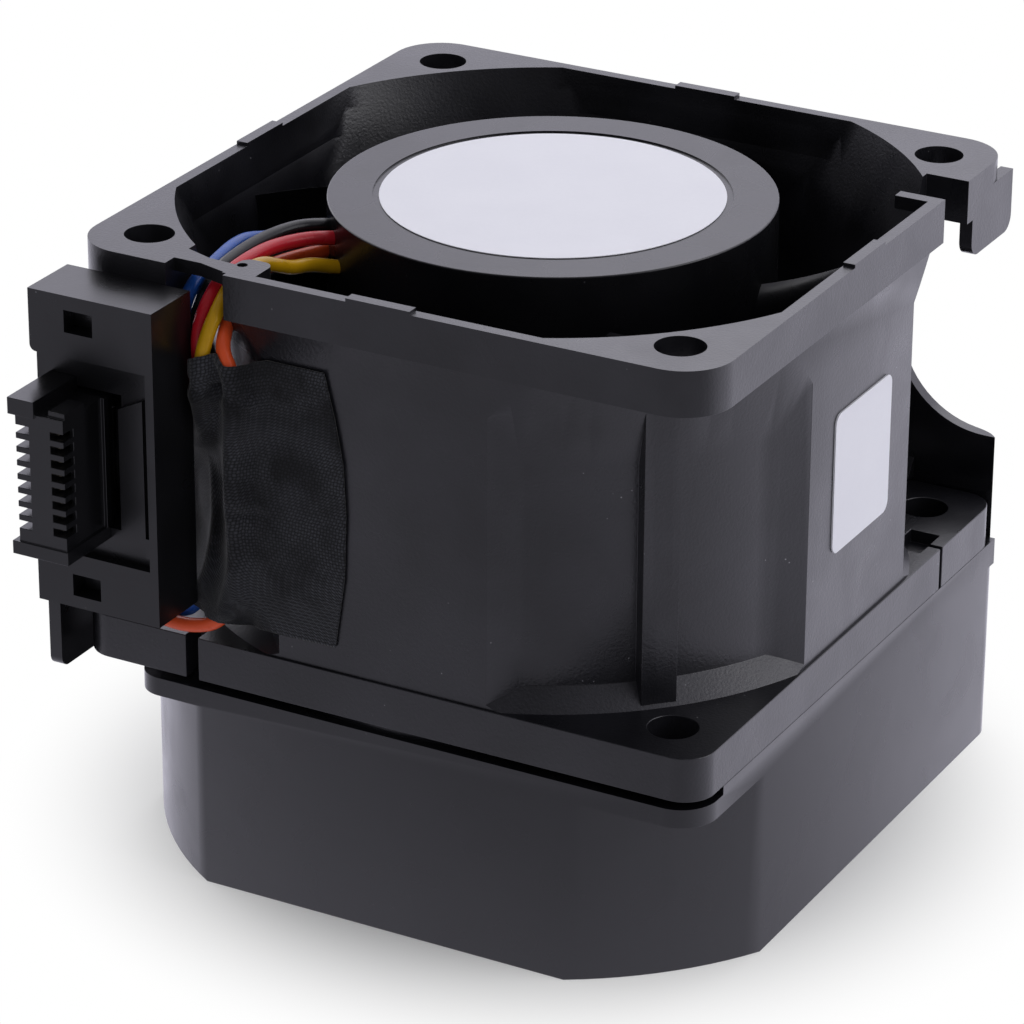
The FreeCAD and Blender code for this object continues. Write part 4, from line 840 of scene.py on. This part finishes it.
# %% The tree that winds the coils
TEETH = 6
coil_low, coil_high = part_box("stator_coils")
coil_middle = (coil_low.z + coil_high.z) / 2
COIL_TALL = coil_high.z - coil_low.z
COIL_WIDE = 5.6 * MM
COIL_NEAR, COIL_FAR = 7.3 * MM, coil_high.x
COPPER_WIRE = 0.48 * MM
LAYERS = 3
# In wire diameters: the bend of the outer layer, how much tighter each next one is, and the
# radius of the drawn wire, a little under a half so that turns stay apart.
BEND, TIGHTER, STRAND = 2.2, 0.6, 0.48
STRAND_SIDES, BEND_POINTS = 6, 3
TURNS = int((COIL_FAR - COIL_NEAR) / COPPER_WIRE)

wind, given, out = new_tree("wind_the_coils", [
    ("Wire", "NodeSocketFloat", COPPER_WIRE), ("Width", "NodeSocketFloat", COIL_WIDE),
    ("Height", "NodeSocketFloat", COIL_TALL), ("Turns", "NodeSocketInt", TURNS),
    ("Start", "NodeSocketFloat", COIL_NEAR), ("Middle", "NodeSocketFloat", coil_middle),
    ("Teeth", "NodeSocketInt", TEETH), ("Copper", "NodeSocketMaterial", None)])


layers = add(wind, "GeometryNodeJoinGeometry")
for layer in range(LAYERS):
    inset = reckon(wind, "MULTIPLY", given.outputs["Wire"], 1.0 + 2.0 * layer)
    turn = add(wind, "GeometryNodeCurvePrimitiveQuadrilateral", {
        "Width": reckon(wind, "SUBTRACT", given.outputs["Width"], inset),
        "Height": reckon(wind, "SUBTRACT", given.outputs["Height"], inset)})
    upright = add(wind, "GeometryNodeTransform", {"Geometry": turn.outputs[0],
                                                  "Rotation": (math.pi / 2, 0, math.pi / 2)})
    bend = reckon(wind, "MULTIPLY", given.outputs["Wire"], BEND - TIGHTER * layer)
    bent = add(wind, "GeometryNodeFilletCurve", {"Curve": upright.outputs[0], "Radius": bend,
                                                 "Count": BEND_POINTS}, mode="POLY")
    strand = reckon(wind, "MULTIPLY", given.outputs["Wire"], STRAND)
    thin = add(wind, "GeometryNodeCurvePrimitiveCircle", {"Resolution": STRAND_SIDES, "Radius": strand})
    loop = add(wind, "GeometryNodeCurveToMesh", {"Curve": bent.outputs[0], "Profile Curve": thin.outputs[0]})
    wind.links.new(loop.outputs[0], layers.inputs[0])
half_wire = reckon(wind, "MULTIPLY", given.outputs["Wire"], 0.5)
first_turn = reckon(wind, "ADD", given.outputs["Start"], half_wire)
start = add(wind, "ShaderNodeCombineXYZ", {0: first_turn, 2: given.outputs["Middle"]})
pitch = add(wind, "ShaderNodeCombineXYZ", {0: given.outputs["Wire"]})
row = add(wind, "GeometryNodeMeshLine", {"Count": given.outputs["Turns"], "Start Location": start.outputs[0],
                                         "Offset": pitch.outputs[0]})
coil = add(wind, "GeometryNodeInstanceOnPoints", {"Points": row.outputs[0], "Instance": layers.outputs[0]})
spokes = add(wind, "GeometryNodeMeshLine", {"Count": given.outputs["Teeth"], "Offset": (0, 0, 0)})
number = add(wind, "GeometryNodeInputIndex")
part_turn = reckon(wind, "DIVIDE", number.outputs[0], given.outputs["Teeth"])
angle = reckon(wind, "MULTIPLY", part_turn, math.tau)
facing = add(wind, "ShaderNodeCombineXYZ", {2: angle})
wound = add(wind, "GeometryNodeInstanceOnPoints", {"Points": spokes.outputs[0], "Instance": coil.outputs[0],
                                                   "Rotation": facing.outputs[0]})
real = add(wind, "GeometryNodeRealizeInstances", {0: wound.outputs[0]})
dressed = add(wind, "GeometryNodeSetMaterial", {"Geometry": real.outputs[0],
                                                "Material": given.outputs["Copper"]})
wind.links.new(dressed.outputs[0], out.inputs[0])
print("nodes in the tree that winds the coils:", len(wind.nodes))

# %% [markdown]
# Magnet wire is copper under a thin clear varnish.  The metal gives the colour, a coat on top
# gives the gloss, and where the varnish pooled the copper looks darker and smoother.

# %% Wind the coils
def enamelled_copper(name, colour, dark):
    """Copper under clear varnish: a metal with a glossy coat, darker where the varnish pooled."""
    made, tree, shader, place = material(name)
    pooled = noise(tree, place, 1.8, 4.0)
    rough = ranged(tree, pooled, 0.3, 0.7, 0.36, 0.24)
    wire_up(tree, shader, blend(tree, pooled, dark, colour), rough)
    shader.inputs["Metallic"].default_value = 1.0
    shader.inputs["Coat Weight"].default_value = 0.8
    shader.inputs["Coat Roughness"].default_value = 0.12
    return made


windings = grown("windings", bpy.data.meshes.new("windings_seed"), wind, {
    "Wire": COPPER_WIRE, "Width": COIL_WIDE, "Height": COIL_TALL, "Turns": TURNS, "Start": COIL_NEAR,
    "Middle": coil_middle, "Teeth": TEETH,
    "Copper": enamelled_copper("enamelled_copper", "c8743a", "8f4a22")})
windings.data.shade_smooth()
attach(windings, "housing")
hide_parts("stator_coils")
print("windings:", TEETH, "coils of", LAYERS, "x", TURNS, "turns,", len(windings.data.polygons), "faces")

# %% [markdown]
# ## Floor and light
#
# The fan stands on a white table in a white tent.  The tent matters most: black plastic shows
# little but what it mirrors.  Camera and glass rays see pure white all round.  Mirror rays see
# a tent and a table of their own, dim at the front, brighter than white at the back and faintly
# lavender, which gives the plastic its sheen.  The light that falls on the object is dimmer and
# plain, so a pale label stays below white.  The table keeps a soft shadow near the fan.

# %% Floor
REACH, FLOOR_DROP = 1.5, 0.05 * MM
stage_mesh = bpy.data.meshes.new("floor")
stage_mesh.from_pydata([(-REACH, -REACH, 0), (REACH, -REACH, 0), (REACH, REACH, 0), (-REACH, REACH, 0)],
                       [], [(0, 1, 2, 3)])
stage_mesh.transform(Matrix.Translation((0, 0, CAD_LOW.z - FLOOR_DROP)))
floor = linked("floor", stage_mesh)
print("floor at z in mm:", round(stage_mesh.vertices[0].co.z / MM, 2))

# %% What each kind of ray sees
# Mirror rays: their tint, the strength at the front and at the back, and the stretch of Y over
# which it changes, in metres on the floor and as a direction in the tent.
TENT_WHITE = (0.95, 0.93, 1.08, 1)
FLOOR_FRONT, TENT_FRONT, BACK_SHARE = 0.55, 0.12, 1.35
FLOOR_SPAN, TENT_SPAN = (-0.07, 0.02), (-0.5, 0.4)
# The shadow is whole up to the first distance from the axis, and gone at the second.
SHADOW_SPAN = (0.024, 0.050)
# The tent's strength in the light that falls on the object.
TENT_DIM = 0.45


def rays(tree):
    """Two shares: 1 for camera and glass rays, and 1 for mirror rays."""
    path = add(tree, "ShaderNodeLightPath")
    clear = reckon(tree, "MAXIMUM", path.outputs["Is Camera Ray"], path.outputs["Is Transmission Ray"])
    return clear, path.outputs["Is Glossy Ray"]


def tent_light(tree, depth, span, front):
    """What a mirror ray sees: dim towards the front of the tent and bright at its back."""
    return ranged(tree, depth, *span, front, BACK_SHARE)


floor_paint, tree, shader, place = material("matt_white_table")
wire_up(tree, shader, blend(tree, noise(tree, place, 30, 3.0), "f3f3f5", "f8f8fa"))
shader.inputs["Roughness"].default_value = 0.9
shader.inputs["Specular IOR Level"].default_value = 0.2
away = add(tree, "ShaderNodeVectorMath", {0: place}, operation="LENGTH")
fade = ranged(tree, away.outputs["Value"], *SHADOW_SPAN, interpolation_type="SMOOTHSTEP")
clear, mirror = rays(tree)
share = reckon(tree, "MULTIPLY", fade, clear)
white = add(tree, "ShaderNodeEmission", {"Color": (1, 1, 1, 1), "Strength": 1.0})
table = add(tree, "ShaderNodeMixShader", {0: share, 1: shader.outputs[0], 2: white.outputs[0]})
spot = add(tree, "ShaderNodeSeparateXYZ", {0: place})
sheen = tent_light(tree, spot.outputs["Y"], FLOOR_SPAN, FLOOR_FRONT)
mirrored = add(tree, "ShaderNodeEmission", {"Color": TENT_WHITE, "Strength": sheen})
mixed = add(tree, "ShaderNodeMixShader", {0: mirror, 1: table.outputs[0], 2: mirrored.outputs[0]})
tree.links.new(mixed.outputs[0], next(n for n in tree.nodes if n.type == "OUTPUT_MATERIAL").inputs[0])
stage_mesh.materials.append(floor_paint)
print("nodes in the table's paint:", len(tree.nodes))

# %% [markdown]
# Three soft lamps stand round the fan: one above and behind, one at the right and one behind
# at the left.  They draw the bright lines on the eased edges and give the shadow its side.  The
# tent itself is the world's background, and it tells the rays apart as the table does.

# %% Lamps and the white tent
def lamp(name, azimuth, elevation, distance, size, watts):
    """A square soft lamp on a sphere round the fan, facing its middle."""
    light = bpy.data.lights.new(name, "AREA")
    light.size = size
    light.energy = watts
    made = linked(name, light)
    a, e = math.radians(azimuth), math.radians(elevation)
    away = Vector((math.sin(a) * math.cos(e), -math.cos(a) * math.cos(e), math.sin(e)))
    middle = (CAD_LOW + CAD_HIGH) / 2
    made.location = middle + away * distance
    made.rotation_mode = "QUATERNION"
    made.rotation_quaternion = (-away).to_track_quat("-Z", "Y")


lamp("top_lamp", 185, 52, 0.60, 0.50, 1.0)
lamp("right_lamp", 100, 28, 0.60, 0.40, 0.9)
lamp("left_lamp", -115, 32, 0.60, 0.40, 0.6)

world = bpy.data.worlds.new("white_tent")
bpy.context.scene.world = world
world.use_nodes = True
tree = world.node_tree
tree.nodes.clear()
dim = add(tree, "ShaderNodeBackground", {"Color": (1, 1, 1, 1), "Strength": TENT_DIM})
bright = add(tree, "ShaderNodeBackground", {"Color": (1, 1, 1, 1), "Strength": 1.0})
clear, mirror = rays(tree)
both = add(tree, "ShaderNodeMixShader", {0: clear, 1: dim.outputs[0], 2: bright.outputs[0]})
way = add(tree, "ShaderNodeSeparateXYZ", {0: add(tree, "ShaderNodeTexCoord").outputs["Generated"]})
sheen = tent_light(tree, way.outputs["Y"], TENT_SPAN, TENT_FRONT)
mirrored = add(tree, "ShaderNodeBackground", {"Color": TENT_WHITE, "Strength": sheen})
whole = add(tree, "ShaderNodeMixShader", {0: mirror, 1: both.outputs[0], 2: mirrored.outputs[0]})
add(tree, "ShaderNodeOutputWorld", {"Surface": whole.outputs[0]})
